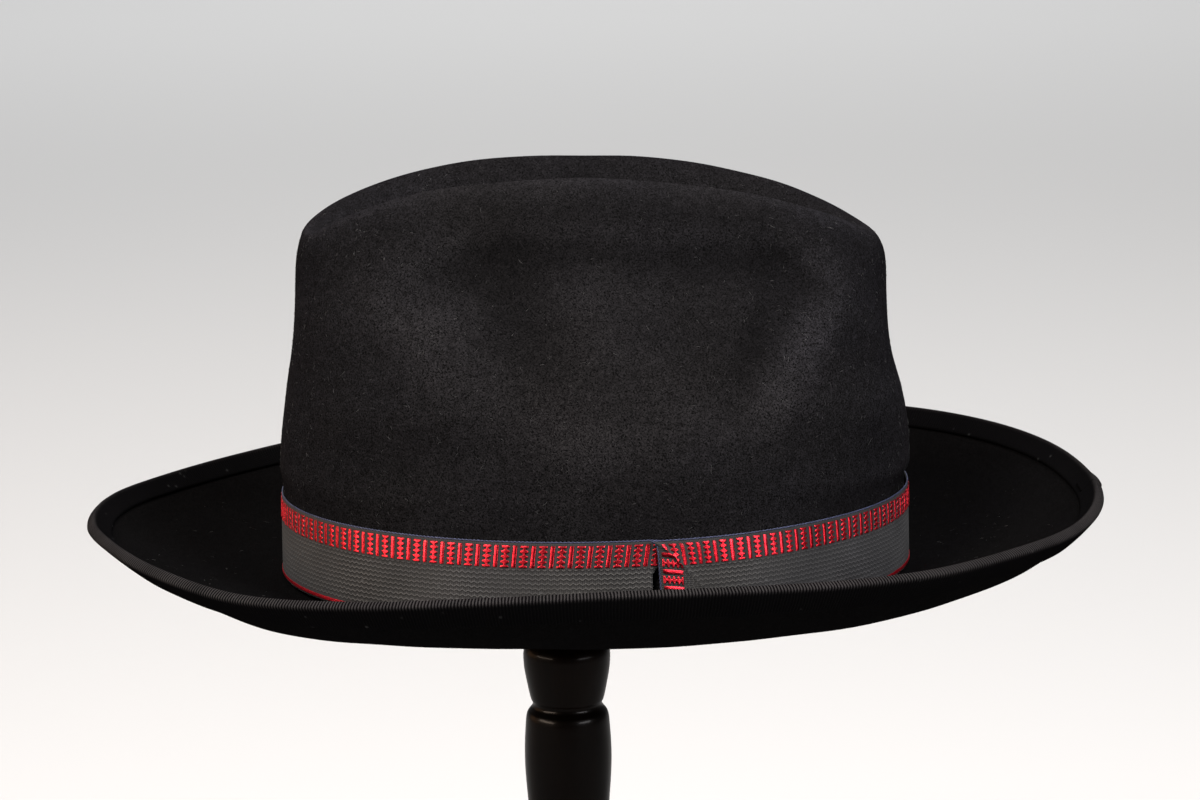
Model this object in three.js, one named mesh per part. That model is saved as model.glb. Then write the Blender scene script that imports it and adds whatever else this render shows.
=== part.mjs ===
import * as THREE from 'three';

// A soft felt hat with a long dent along its crown, resting on a turned wooden stand.
// Millimetres, +Z up. The stand's foot is centred on the origin, the hat faces -Y
// and its wearer's left is +X. Hat heights are measured from the fold between crown and brim.
const FOLD_HEIGHT = 195;
const HAT_BEHIND_STAND = 11;
const MERIDIANS = 60;
const FELT = 2.0;
const GAP = 0.3;
const FOLD_RADIUS = 2.5;
const FOLD_TURNS = [1 / 3, 2 / 3];

// The crest that runs round the long dent: height over the fold, along the hat.
const CREST = { height: 133.8, tilt: -4.0, sag: 12.2, endDrop: 10.5, halfLength: 95 };
const DENT = { depth: 25, runOut: 4 };
const DENT_RINGS = [0.22, 0.46, 0.66, 0.82, 0.93];

// Outer skin of the crown by drop, 0 at the crest and 1 at the fold.
const CROWN_SECTIONS = [
  { drop: 0.0, front: 93.4, back: 89.5, side: 28.0, square: 3.1 },
  { drop: 0.006, front: 94.6, back: 91.4, side: 32.0, square: 3.0 },
  { drop: 0.025, front: 95.6, back: 93.2, side: 37.5, square: 2.9 },
  { drop: 0.06, front: 96.7, back: 94.8, side: 45.0, square: 2.7 },
  { drop: 0.11, front: 97.6, back: 95.5, side: 53.5, square: 2.5 },
  { drop: 0.18, front: 98.2, back: 95.7, side: 62.5, square: 2.35 },
  { drop: 0.26, front: 98.8, back: 96.0, side: 70.0, square: 2.25 },
  { drop: 0.36, front: 99.7, back: 97.2, side: 76.0, square: 2.15 },
  { drop: 0.47, front: 101.1, back: 99.8, side: 80.0, square: 2.1 },
  { drop: 0.58, front: 102.2, back: 101.3, side: 82.5, square: 2.0 },
  { drop: 0.7, front: 102.9, back: 102.0, side: 83.9, square: 2.0 },
  { drop: 0.85, front: 103.4, back: 102.5, side: 84.8, square: 2.0 },
  { drop: 1.0, front: 103.6, back: 102.7, side: 85.0, square: 2.0 },
];

// Where the crown's solid ends over the fold and the brim's begins, in the same drop.
const MEETING = { drop: 0.95, gap: 0.0024 };

// The soft hollow in each side of the crown: long below the crest and shorter further down.
const PINCH = {
  depth: 14,
  centre: 2,
  front: 82,
  frontLow: 52,
  frontSoft: 50,
  back: 75,
  backLow: 46,
  backSoft: 25,
  deepest: 0.2,
  lowest: 0.62,
};

// Felt edge of the brim in plan, and its lift over the fold by angle from the back.
const RIM = { front: 165.7, back: 164.8, side: 139, square: 2.1 };
const RIM_LIFT = [
  { angle: 0, left: 26.8, right: 26.8, slope: 48 },
  { angle: 15, left: 25.6, right: 28.6, slope: 50 },
  { angle: 30, left: 24.5, right: 29.6, slope: 54 },
  { angle: 45, left: 24.8, right: 29.6, slope: 60 },
  { angle: 60, left: 24.2, right: 28.0, slope: 66 },
  { angle: 90, left: 26.3, right: 26.0, slope: 74 },
  { angle: 105, left: 24.7, right: 24.0, slope: 71 },
  { angle: 120, left: 21.7, right: 21.8, slope: 65 },
  { angle: 135, left: 19.8, right: 19.8, slope: 58 },
  { angle: 150, left: 22.2, right: 19.4, slope: 50 },
  { angle: 165, left: 24.2, right: 21.0, slope: 44 },
  { angle: 180, left: 22.6, right: 22.6, slope: 42 },
];
const BRIM = { flatReach: 22, rise: 0.6, edgePull: 18 };
const BRIM_REACHES = [0, 0.14, 0.28, 0.42, 0.56, 0.7, 0.84, 0.92, 1];

const RIBBON = { bottom: 2.0, height: 27, thickness: 1.0, rings: 2 };
const OVERLAP = {
  start: 7,
  width: 15,
  thickness: 1.0,
  bunchAt: 0.66,
  bunch: 1.3,
  bunchHeight: 12,
  columns: 8,
  rings: 5,
};
const BINDING = { thickness: 1.0, corner: 0.35, edgeStep: 0.02 };
const BINDING_REACHES = [0.84, 0.92, 1];
const SWEATBAND = { height: 34, thickness: 1.2, above: 0.5, rings: 2 };

// Turned wood, heights over the floor.
const DOME = { radius: 52, height: 46, edge: 10, footRadius: 46, lipRadius: 50.5, lip: 2.5 };
const DOME_TOP = { radius: 3, steps: 6 };
const POST_SIDES = 16;
const STAND_SIDES = 30;
const BASE_TURNINGS = [
  { height: 0, radius: 80 },
  { height: 2, radius: 82 },
  { height: 8, radius: 82 },
  { height: 11, radius: 79 },
  { height: 12.5, radius: 72 },
  { height: 15, radius: 42 },
  { height: 18, radius: 24 },
];
const BASE_HEIGHT = BASE_TURNINGS[BASE_TURNINGS.length - 1].height;
const POST_TURNINGS = [
  { height: BASE_HEIGHT + GAP, radius: 17 },
  { height: 22, radius: 18 },
  { height: 26, radius: 17 },
  { height: 31, radius: 13 },
  { height: 50, radius: 12 },
  { height: 90, radius: 12.8 },
  { height: 112, radius: 13.6 },
  { height: 128, radius: 14.6 },
  { height: 138, radius: 14.2 },
  { height: 145.5, radius: 13.4 },
  { height: 147, radius: 12.2 },
  { height: 148.5, radius: 11.7 },
  { height: 151, radius: 12.4 },
  { height: 160, radius: 14.2 },
  { height: 165, radius: 14.6 },
  { height: 168, radius: 14 },
  { height: 171, radius: 11.5 },
];
const POST_HEAD = [
  { below: 14, radius: 11 },
  { below: 5, radius: 13.5 },
  { below: 0, radius: 16 },
];

const power = (value, exponent) => Math.sign(value) * Math.abs(value) ** exponent;
const smoothStep = (value) => {
  const t = Math.min(Math.max(value, 0), 1);
  return t * t * (3 - 2 * t);
};

// One column of a table at any key, by smooth cubic steps between its rows.
function column(table, key, name, at) {
  let row = 0;
  while (row < table.length - 2 && table[row + 1][key] <= at) row += 1;
  const slopeAt = (index) => {
    const before = table[Math.max(index - 1, 0)];
    const after = table[Math.min(index + 1, table.length - 1)];
    return (after[name] - before[name]) / (after[key] - before[key]);
  };
  const span = table[row + 1][key] - table[row][key];
  const t = (at - table[row][key]) / span;
  const startPull = slopeAt(row) * span * t * (1 - t) * (1 - t);
  const endPull = slopeAt(row + 1) * span * t * t * (t - 1);
  const mix = t * t * (3 - 2 * t);
  return table[row][name] * (1 - mix) + table[row + 1][name] * mix + startPull + endPull;
}

// A rounded oval whose front and back halves have their own lengths; angle 0 is the back.
function ovalPoint(angle, oval) {
  const backward = Math.cos(angle);
  const length = backward < 0 ? oval.front : oval.back;
  const x = oval.side * power(Math.sin(angle), 2 / oval.square);
  const y = length * power(backward, 2 / oval.square);
  return new THREE.Vector3(x, y, 0);
}

function crestHeight(y) {
  const along = y / CREST.halfLength;
  return CREST.height + CREST.tilt * along - CREST.sag * along ** 2 - CREST.endDrop * along ** 4;
}

function crestPoint(angle) {
  const point = ovalPoint(angle, CROWN_SECTIONS[0]);
  point.z = crestHeight(point.y);
  return point;
}

// Surface inside the crest, from the dent's middle (0) to the crest (1): a rounded valley
// that keeps its depth along the hat and runs out softly at both ends.
function dentPoint(angle, reach) {
  const { front, back, side, square } = CROWN_SECTIONS[0];
  const point = crestPoint(angle).multiplyScalar(reach);
  const along = Math.min(Math.abs(point.y) / (point.y < 0 ? front : back), 1);
  const halfWidth = side * Math.max(1 - along ** square, 1e-6) ** (1 / square);
  const across = Math.min(Math.abs(point.x) / halfWidth, 1);
  const depth = DENT.depth * (1 - along ** DENT.runOut) ** 2;
  point.z = crestHeight(point.y) - (depth * (1 + Math.cos(Math.PI * across))) / 2;
  return point;
}

// How far the side hollow takes the wall inward.
function pinch(y, drop) {
  const along = y - PINCH.centre;
  const below = (drop - PINCH.deepest) / (PINCH.lowest - PINCH.deepest);
  const lowered = THREE.MathUtils.clamp(below, 0, 1);
  const frontRoom = THREE.MathUtils.lerp(PINCH.front, PINCH.frontLow, lowered) + along;
  const backRoom = THREE.MathUtils.lerp(PINCH.back, PINCH.backLow, lowered) - along;
  const room = along < 0 ? frontRoom / PINCH.frontSoft : backRoom / PINCH.backSoft;
  const lengthwise = smoothStep(room);
  const upper = smoothStep(drop / PINCH.deepest);
  return PINCH.depth * lengthwise * upper * smoothStep(1 - lowered);
}

function crownPoint(angle, drop) {
  const oval = {};
  for (const name of ['front', 'back', 'side', 'square']) {
    oval[name] = column(CROWN_SECTIONS, 'drop', name, drop);
  }
  const point = ovalPoint(angle, oval);
  point.x -= Math.sign(point.x) * pinch(point.y, drop) * Math.abs(Math.sin(angle));
  point.z = THREE.MathUtils.lerp(crestPoint(angle).z, FOLD_RADIUS, drop);
  return point;
}

const wallFoot = (angle) => ovalPoint(angle, CROWN_SECTIONS[CROWN_SECTIONS.length - 1]);

// Quarter round between the crown's wall and the brim.
function foldPoint(angle, turn) {
  const foot = wallFoot(angle);
  const outward = ovalPoint(angle, RIM).sub(foot).normalize();
  const swing = (turn * Math.PI) / 2;
  foot.addScaledVector(outward, FOLD_RADIUS * (1 - Math.cos(swing)));
  foot.z = FOLD_RADIUS * (1 - Math.sin(swing));
  return foot;
}

// Brim surface from the fold (0) to the felt's edge (1), a cubic curve in each meridian.
function brimPoint(angle, reach) {
  const start = foldPoint(angle, 1);
  const end = ovalPoint(angle, RIM);
  const outward = end.clone().sub(start);
  const width = outward.length();
  outward.divideScalar(width);
  const degrees = (THREE.MathUtils.radToDeg(angle) + 360) % 360;
  const half = degrees > 180 ? 360 - degrees : degrees;
  const lift = column(RIM_LIFT, 'angle', degrees > 180 ? 'right' : 'left', half);
  const slope = THREE.MathUtils.degToRad(column(RIM_LIFT, 'angle', 'slope', half));
  const curve = new THREE.CubicBezierCurve(
    new THREE.Vector2(0, 0),
    new THREE.Vector2(BRIM.flatReach, BRIM.rise),
    new THREE.Vector2(width - BRIM.edgePull * Math.cos(slope), lift - BRIM.edgePull * Math.sin(slope)),
    new THREE.Vector2(width, lift),
  );
  const place = curve.getPoint(reach);
  const point = start.addScaledVector(outward, place.x);
  point.z = place.y;
  return point;
}

// The upper skin from the dent's middle to the brim's edge, by zone and place in it. The felt
// is one sheet; its crown and its brim are two solids that meet behind the ribbon.
const crownStations = DENT_RINGS.map((reach) => ({ at: dentPoint, along: reach }));
for (const { drop } of CROWN_SECTIONS) {
  if (drop < MEETING.drop) crownStations.push({ at: crownPoint, along: drop });
}
crownStations.push({ at: crownPoint, along: MEETING.drop });
const brimStations = [
  { at: crownPoint, along: MEETING.drop + MEETING.gap },
  { at: crownPoint, along: 1 },
];
for (const turn of FOLD_TURNS) brimStations.push({ at: foldPoint, along: turn });
for (const reach of BRIM_REACHES) brimStations.push({ at: brimPoint, along: reach });

// Outward normal of the upper skin, from nearby points of the same zone.
function skinNormal(station, angle) {
  const turn = 0.004;
  const step = 0.002;
  const { at, along } = station;
  const across = at(angle, Math.min(along + step, 1)).sub(at(angle, Math.max(along - step, 0)));
  const around = at(angle + turn, along).sub(at(angle - turn, along));
  return around.cross(across).normalize();
}

// A ring of points at a height over the skin; a negative height lies under it.
function skinRing(station, height) {
  const ring = [];
  for (let i = 0; i < MERIDIANS; i += 1) {
    const angle = (2 * Math.PI * i) / MERIDIANS;
    const point = station.at(angle, station.along);
    ring.push(point.addScaledVector(skinNormal(station, angle), height));
  }
  return ring;
}

// Closed solid from rings of points; a ring of one point is a tip, and without tips the
// last ring joins the first.
function ringSolid(rings) {
  const positions = [];
  const starts = [];
  for (const ring of rings) {
    starts.push(positions.length / 3);
    for (const point of ring) positions.push(point.x, point.y, point.z);
  }
  const index = [];
  const joins = rings[0].length === 1 ? rings.length - 1 : rings.length;
  for (let join = 0; join < joins; join += 1) {
    const next = (join + 1) % rings.length;
    const count = Math.max(rings[join].length, rings[next].length);
    for (let i = 0; i < count; i += 1) {
      const j = (i + 1) % count;
      const corner = (ring, place) => starts[ring] + (rings[ring].length === 1 ? 0 : place);
      if (rings[join].length > 1) index.push(corner(join, i), corner(next, i), corner(join, j));
      if (rings[next].length > 1) index.push(corner(join, j), corner(next, i), corner(next, j));
    }
  }
  const geometry = new THREE.BufferGeometry();
  geometry.setAttribute('position', new THREE.Float32BufferAttribute(positions, 3));
  geometry.setIndex(index);
  return geometry;
}

function feltCrownGeometry() {
  const upper = crownStations.map((station) => skinRing(station, 0));
  const lower = crownStations.map((station) => skinRing(station, -FELT));
  const middle = dentPoint(0, 0);
  const under = middle.clone();
  under.z -= FELT;
  return ringSolid([[under], ...lower, ...upper.reverse(), [middle]]);
}

function feltBrimGeometry() {
  const upper = brimStations.map((station) => skinRing(station, 0));
  const lower = brimStations.map((station) => skinRing(station, -FELT));
  return ringSolid([...lower, ...upper.reverse()]);
}

// A wall round the crown's foot, between two distances out from the felt's upper skin.
function footWall(bottom, top, inner, outer, rings) {
  const ringAt = (height, distance) => {
    const ring = [];
    for (let i = 0; i < MERIDIANS; i += 1) {
      const angle = (2 * Math.PI * i) / MERIDIANS;
      ring.push(footPoint(angle, height, distance));
    }
    return ring;
  };
  const face = (distance) => {
    const walls = [];
    for (let ring = 0; ring < rings; ring += 1) {
      walls.push(ringAt(THREE.MathUtils.lerp(bottom, top, ring / (rings - 1)), distance));
    }
    return walls;
  };
  return ringSolid([...face(outer), ...face(inner).reverse()]);
}

// A point beside the crown's wall at a height over the fold.
function footPoint(angle, height, distance) {
  const crest = crestPoint(angle).z;
  const drop = Math.min((crest - height) / (crest - FOLD_RADIUS), 1);
  const station = { at: crownPoint, along: drop };
  const point = crownPoint(angle, drop);
  const outward = skinNormal(station, angle);
  outward.z = 0;
  point.addScaledVector(outward.normalize(), distance);
  point.z = height;
  return point;
}

function ribbonGeometry() {
  const { bottom, height, thickness, rings } = RIBBON;
  return footWall(bottom, bottom + height, GAP, GAP + thickness, rings);
}

// The ribbon's folded end: a second layer on the wearer's left that swells into a bunch.
function overlapGeometry() {
  const base = 2 * GAP + RIBBON.thickness;
  const rings = [];
  for (let step = 0; step <= OVERLAP.columns; step += 1) {
    const share = step / OVERLAP.columns;
    const y = OVERLAP.start + share * OVERLAP.width;
    const angle = Math.acos(y / CROWN_SECTIONS[CROWN_SECTIONS.length - 1].back);
    const outerFace = [];
    const innerFace = [];
    for (let ring = 0; ring < OVERLAP.rings; ring += 1) {
      const height = RIBBON.bottom + (RIBBON.height * ring) / (OVERLAP.rings - 1);
      const across = 1 - Math.min(Math.abs(share - OVERLAP.bunchAt) / (1 - OVERLAP.bunchAt), 1);
      const low = 1 - smoothStep((height - RIBBON.bottom) / OVERLAP.bunchHeight);
      const swell = OVERLAP.bunch * smoothStep(across) * low;
      outerFace.push(footPoint(angle, height, base + OVERLAP.thickness + swell));
      innerFace.push(footPoint(angle, height, base));
    }
    rings.push([...outerFace, ...innerFace.reverse()]);
  }
  return prismSolid(rings);
}

// Closed solid from outlines of equal length, with a flat face at each end.
function prismSolid(outlines) {
  const count = outlines[0].length;
  const positions = outlines.flat().flatMap((point) => [point.x, point.y, point.z]);
  const index = [];
  for (let row = 0; row < outlines.length - 1; row += 1) {
    for (let i = 0; i < count; i += 1) {
      const j = (i + 1) % count;
      const a = row * count;
      const b = a + count;
      index.push(a + i, b + i, a + j, a + j, b + i, b + j);
    }
  }
  const last = (outlines.length - 1) * count;
  for (let i = 0; i < count / 2 - 1; i += 1) {
    const far = count - 1 - i;
    index.push(i, i + 1, far, i + 1, far - 1, far);
    index.push(last + i, last + far, last + i + 1, last + i + 1, last + far, last + far - 1);
  }
  const geometry = new THREE.BufferGeometry();
  geometry.setAttribute('position', new THREE.Float32BufferAttribute(positions, 3));
  geometry.setIndex(index);
  return geometry;
}

// Ribbed ribbon folded over the felt's edge, on both faces of the brim.
function bindingGeometry() {
  const near = GAP;
  const far = GAP + BINDING.thickness;
  const ringAt = (reach, height, beyond) => {
    const ring = skinRing({ at: brimPoint, along: reach }, height);
    ring.forEach((point, i) => {
      const angle = (2 * Math.PI * i) / MERIDIANS;
      const outward = brimPoint(angle, 1).sub(brimPoint(angle, 1 - BINDING.edgeStep)).normalize();
      point.addScaledVector(outward, beyond);
    });
    return ring;
  };
  const face = (height, edge) =>
    BINDING_REACHES.map((reach) => ringAt(reach, height, reach === 1 ? edge : 0));
  const crest = [
    ringAt(1, -FELT - far + BINDING.corner, far - BINDING.corner),
    ringAt(1, -FELT / 2, far),
    ringAt(1, far - BINDING.corner, far - BINDING.corner),
  ];
  return ringSolid([
    ...face(-FELT - far, 0),
    ...crest,
    ...face(far, 0).reverse(),
    ...face(near, near),
    ...face(-FELT - near, near).reverse(),
  ]);
}

// Leather band inside the head opening.
function sweatbandGeometry() {
  const inner = -FELT - GAP - SWEATBAND.thickness;
  const outer = -FELT - GAP;
  const bottom = SWEATBAND.above;
  return footWall(bottom, bottom + SWEATBAND.height, inner, outer, SWEATBAND.rings);
}

// A turned solid from rows of height and radius, bottom to top, closed on the axis.
function turned(rows, sides) {
  const points = rows.map((row) => new THREE.Vector2(row.radius, row.height));
  points.unshift(new THREE.Vector2(0, rows[0].height));
  points.push(new THREE.Vector2(0, rows[rows.length - 1].height));
  return new THREE.LatheGeometry(points, sides).rotateX(Math.PI / 2);
}

const domeTop = FOLD_HEIGHT + dentPoint(0, 0).z - FELT - GAP;
const domeFoot = domeTop - DOME.height;

function domeGeometry() {
  const rows = [
    { height: domeFoot, radius: DOME.footRadius },
    { height: domeFoot + DOME.lip, radius: DOME.lipRadius },
    { height: domeFoot + DOME.edge, radius: DOME.radius },
  ];
  const rise = DOME.height - DOME.edge;
  for (let step = 1; step < DOME_TOP.steps; step += 1) {
    const swing = (step / DOME_TOP.steps) * (Math.PI / 2);
    const height = domeFoot + DOME.edge + rise * Math.sin(swing);
    rows.push({ height, radius: DOME.radius * Math.cos(swing) });
  }
  rows.push({ height: domeTop, radius: DOME_TOP.radius });
  return turned(rows, STAND_SIDES);
}

function postGeometry() {
  const top = domeFoot - GAP;
  const head = POST_HEAD.map((row) => ({ height: top - row.below, radius: row.radius }));
  return turned([...POST_TURNINGS, ...head], POST_SIDES);
}

const baseGeometry = () => turned(BASE_TURNINGS, STAND_SIDES);

const FELT_LOOK = { color: 0x17161a, roughness: 0.95, metalness: 0 };
const BINDING_LOOK = { color: 0x232227, roughness: 0.85, metalness: 0 };
const RIBBON_LOOK = { color: 0x45464a, roughness: 0.75, metalness: 0 };
const OVERLAP_LOOK = { color: 0xa5202c, roughness: 0.65, metalness: 0 };
const LEATHER_LOOK = { color: 0x2a1d17, roughness: 0.55, metalness: 0 };
const WOOD_LOOK = { color: 0x120c0b, roughness: 0.3, metalness: 0 };

const part = new THREE.Group();
const hat = new THREE.Group();
hat.position.set(0, HAT_BEHIND_STAND, FOLD_HEIGHT);
part.add(hat);

const PIECES = [
  { name: 'felt_crown', parent: hat, geometry: feltCrownGeometry, look: FELT_LOOK },
  { name: 'felt_brim', parent: hat, geometry: feltBrimGeometry, look: FELT_LOOK },
  { name: 'hat_ribbon', parent: hat, geometry: ribbonGeometry, look: RIBBON_LOOK },
  { name: 'ribbon_overlap', parent: hat, geometry: overlapGeometry, look: OVERLAP_LOOK },
  { name: 'brim_binding', parent: hat, geometry: bindingGeometry, look: BINDING_LOOK },
  { name: 'sweatband', parent: hat, geometry: sweatbandGeometry, look: LEATHER_LOOK },
  { name: 'stand_dome', parent: part, geometry: domeGeometry, look: WOOD_LOOK },
  { name: 'stand_post', parent: part, geometry: postGeometry, look: WOOD_LOOK },
  { name: 'stand_base', parent: part, geometry: baseGeometry, look: WOOD_LOOK },
];
for (const piece of PIECES) {
  const mesh = new THREE.Mesh(piece.geometry(), new THREE.MeshStandardMaterial(piece.look));
  mesh.name = piece.name;
  piece.parent.add(mesh);
}

export default part;
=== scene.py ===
import math
import bpy
import numpy as np
from mathutils import Matrix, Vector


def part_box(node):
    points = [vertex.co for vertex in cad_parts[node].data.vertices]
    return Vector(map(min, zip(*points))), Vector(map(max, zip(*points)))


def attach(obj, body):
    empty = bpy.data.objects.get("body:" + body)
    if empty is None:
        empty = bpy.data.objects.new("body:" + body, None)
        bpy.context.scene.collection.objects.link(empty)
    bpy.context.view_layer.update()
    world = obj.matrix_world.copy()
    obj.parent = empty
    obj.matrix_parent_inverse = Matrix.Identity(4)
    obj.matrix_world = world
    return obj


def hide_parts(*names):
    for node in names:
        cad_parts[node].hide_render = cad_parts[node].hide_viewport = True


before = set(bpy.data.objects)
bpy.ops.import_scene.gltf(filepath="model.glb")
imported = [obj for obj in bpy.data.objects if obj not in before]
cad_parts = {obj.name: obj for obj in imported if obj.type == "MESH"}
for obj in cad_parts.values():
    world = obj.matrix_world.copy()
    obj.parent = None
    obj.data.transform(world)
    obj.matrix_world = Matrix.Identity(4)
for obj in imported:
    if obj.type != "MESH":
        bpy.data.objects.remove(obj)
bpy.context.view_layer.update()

# The stand's turned wood: a wide foot, a slim post with a cupped neck, and a smooth dome that
# fills the hat's crown. It is one kind of close-grained timber, stained near black on the lathe
# and polished, and its three parts are glued together.
MM = 0.001
STAND_SIDES = 120
CURVE_STEPS = 6
FOOT_TURNINGS = [
    (0.0, 79.2), (0.7, 80.4), (2.0, 82.0), (5.0, 82.4), (8.0, 82.0), (10.0, 80.4),
    (11.0, 78.6), (11.6, 76.5), (12.2, 72.5), (13.2, 60.0), (15.0, 42.0), (16.6, 30.0),
    (18.0, 24.0),
]
POST_TURNINGS = [
    (18.3, 16.4), (19.4, 17.6), (22.0, 18.2), (24.6, 17.8), (26.4, 16.6), (28.4, 14.4),
    (31.0, 13.0), (38.0, 12.2), (50.0, 12.0), (70.0, 12.3), (90.0, 12.8), (112.0, 13.6),
    (122.0, 14.3), (129.0, 14.6), (135.0, 14.5), (140.0, 14.2), (143.6, 13.9), (145.4, 13.4),
    (146.5, 12.6), (147.4, 11.9), (148.4, 11.6), (149.2, 11.8), (150.0, 12.2), (152.0, 12.7),
    (156.0, 13.5), (160.0, 14.2), (163.0, 14.5), (166.0, 14.5), (168.0, 13.9), (170.0, 12.4),
    (172.0, 11.3), (180.0, 10.8), (205.0, 10.6), (228.0, 10.8), (240.0, 11.2), (246.0, 12.2),
    (250.0, 13.6), (253.4, 15.2), (255.0, 16.0),
]
POST_TOP = {"gap": 0.3, "radius": 16.0}
DOME = {
    "radius": 52.0, "height": 46.0, "edge": 10.0, "foot": 46.0,
    "turn": 48.6, "turn_rise": 0.8, "lip": 50.5, "lip_rise": 2.5,
}
DOME_ROWS = 28


def grid_faces(rows, columns, closed_rows):
    """Quads between the rows of a grid whose columns run round in a ring."""
    row = np.arange(rows if closed_rows else rows - 1)[:, None]
    side = np.arange(columns)[None, :]
    after = (side + 1) % columns
    here = row * columns
    below = ((row + 1) % rows) * columns
    corners = (here + side, below + side, below + after, here + after)
    return np.stack(np.broadcast_arrays(*corners), axis=-1).reshape(-1, 4)


def new_object(name, data):
    """An object in the scene for a mesh, a camera or a light."""
    made = bpy.data.objects.new(name, data)
    bpy.context.scene.collection.objects.link(made)
    return made


def make_piece(name, points, faces, more=()):
    """A smooth piece that rides on the part's one body, from points in millimetres and faces."""
    mesh = bpy.data.meshes.new(name)
    mesh.from_pydata((np.asarray(points) * MM).tolist(), [], faces.tolist() + list(more))
    mesh.validate()
    mesh.shade_smooth()
    piece = new_object(name, mesh)
    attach(piece, "root")
    return piece


def column(rows, place, at):
    """One column of a table at any key, by smooth cubic steps between its rows."""
    keys = rows[:, 0]
    values = rows[:, place]
    slopes = np.empty(len(keys))
    slopes[1:-1] = (values[2:] - values[:-2]) / (keys[2:] - keys[:-2])
    slopes[0] = (values[1] - values[0]) / (keys[1] - keys[0])
    slopes[-1] = (values[-1] - values[-2]) / (keys[-1] - keys[-2])
    low = np.clip(np.searchsorted(keys, at, side="right") - 1, 0, len(keys) - 2)
    span = keys[low + 1] - keys[low]
    t = (at - keys[low]) / span
    mix = t * t * (3 - 2 * t)
    pull = slopes[low] * span * t * (1 - t) ** 2 + slopes[low + 1] * span * t * t * (t - 1)
    return values[low] * (1 - mix) + values[low + 1] * mix + pull


def smooth_rows(rows):
    """Points on a smooth line through rows of (height, radius)."""
    table = np.column_stack([np.arange(len(rows)), rows])
    at = np.linspace(0, len(rows) - 1, (len(rows) - 1) * CURVE_STEPS + 1)
    return np.stack([column(table, place, at) for place in (1, 2)], axis=1)


def turn_on_lathe(name, rows):
    """A closed solid turned from rows of (height, radius) in millimetres."""
    angles = np.linspace(0, 2 * np.pi, STAND_SIDES, endpoint=False)
    height, radius = np.array(rows).T[:, :, None]
    rings = (radius * np.cos(angles), radius * np.sin(angles), height * np.ones(STAND_SIDES))
    points = np.stack(rings, axis=-1).reshape(-1, 3)
    ends = (range(STAND_SIDES - 1, -1, -1), range(len(points) - STAND_SIDES, len(points)))
    faces = grid_faces(len(rows), STAND_SIDES, False)[:, [0, 3, 2, 1]]
    return make_piece(name, points, faces, [list(end) for end in ends])


def add(tree, kind, sockets=None, **settings):
    """A node of that kind, with its settings, and a value or a link for each named socket."""
    made = tree.nodes.new("ShaderNode" + kind)
    for name, value in settings.items():
        setattr(made, name, value)
    for place, value in (sockets or {}).items():
        if isinstance(value, bpy.types.NodeSocket):
            tree.links.new(value, made.inputs[place])
        else:
            made.inputs[place].default_value = value
    return made


def reckon(tree, operation, *values):
    """The output of a Math node."""
    return add(tree, "Math", dict(enumerate(values)), operation=operation).outputs[0]


def times(tree, first, *others):
    """Values multiplied together."""
    for other in others:
        first = reckon(tree, "MULTIPLY", first, other)
    return first


def plus(tree, first, second):
    """Two values added."""
    return reckon(tree, "ADD", first, second)


def map_range(tree, value, low, high, start=0.0, end=1.0, **settings):
    """The range from start to end spread from low to high, and held there at both ends."""
    sockets = {"Value": value, "From Min": start, "From Max": end, "To Min": low, "To Max": high}
    return add(tree, "MapRange", sockets, **settings).outputs["Result"]


def noise(tree, scale, at=None, **settings):
    """A noise value over the object's own space, or over another one."""
    if at is None:
        at = add(tree, "TexCoord").outputs["Object"]
    return add(tree, "TexNoise", {"Vector": at, "Scale": scale, **settings}).outputs["Fac"]


def stretched(tree, scale):
    """The object's own space, stretched along its axes."""
    place = add(tree, "TexCoord").outputs["Object"]
    return add(tree, "Mapping", {"Vector": place, "Scale": scale}).outputs[0]


def blend_colours(tree, share, dark, light):
    """A colour between two colours."""
    sockets = {"Factor": share, "A": dark, "B": light}
    made = add(tree, "Mix", None, data_type="RGBA")
    colour_inputs = {s.name: s for s in made.inputs if s.type == "RGBA"}
    for name, value in sockets.items():
        socket = colour_inputs.get(name, made.inputs[0])
        if isinstance(value, bpy.types.NodeSocket):
            tree.links.new(value, socket)
        else:
            socket.default_value = value
    return [s for s in made.outputs if s.type == "RGBA"][0]


def new_group(name, takes, gives):
    """A node group with named inputs and outputs, and the nodes at its two ends."""
    group = bpy.data.node_groups.new(name, "ShaderNodeTree")
    for socket, kind, value in takes:
        made = group.interface.new_socket(name=socket, in_out="INPUT", socket_type="NodeSocket" + kind)
        if value is not None:
            made.default_value = value
    for socket, kind in gives:
        group.interface.new_socket(name=socket, in_out="OUTPUT", socket_type="NodeSocket" + kind)
    return group, group.nodes.new("NodeGroupInput"), group.nodes.new("NodeGroupOutput")


def use_group(tree, group, **values):
    """A group's node in a material, with that material's own values."""
    made = tree.nodes.new("ShaderNodeGroup")
    made.node_tree = group
    for name, value in values.items():
        socket = made.inputs[name.replace("_", " ")]
        if isinstance(value, bpy.types.NodeSocket):
            tree.links.new(value, socket)
        else:
            socket.default_value = value
    return made


def new_material(name, **constants):
    """A material with a Principled shader whose constant sockets are set."""
    material = bpy.data.materials.new(name)
    material.use_nodes = True
    tree = material.node_tree
    shader = tree.nodes["Principled BSDF"]
    for socket, value in constants.items():
        shader.inputs[socket.replace("_", " ")].default_value = value
    return material, tree, shader


def set_surface(tree, shader, colour, shine, rough, height, strength, depth):
    """Links a material's colour, its roughness from rough[0] to rough[1], and its relief."""
    tree.links.new(colour, shader.inputs["Base Color"])
    tree.links.new(map_range(tree, shine, *rough), shader.inputs["Roughness"])
    relief = add(tree, "Bump", {"Height": height, "Strength": strength, "Distance": depth})
    tree.links.new(relief.outputs["Normal"], shader.inputs["Normal"])


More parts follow.
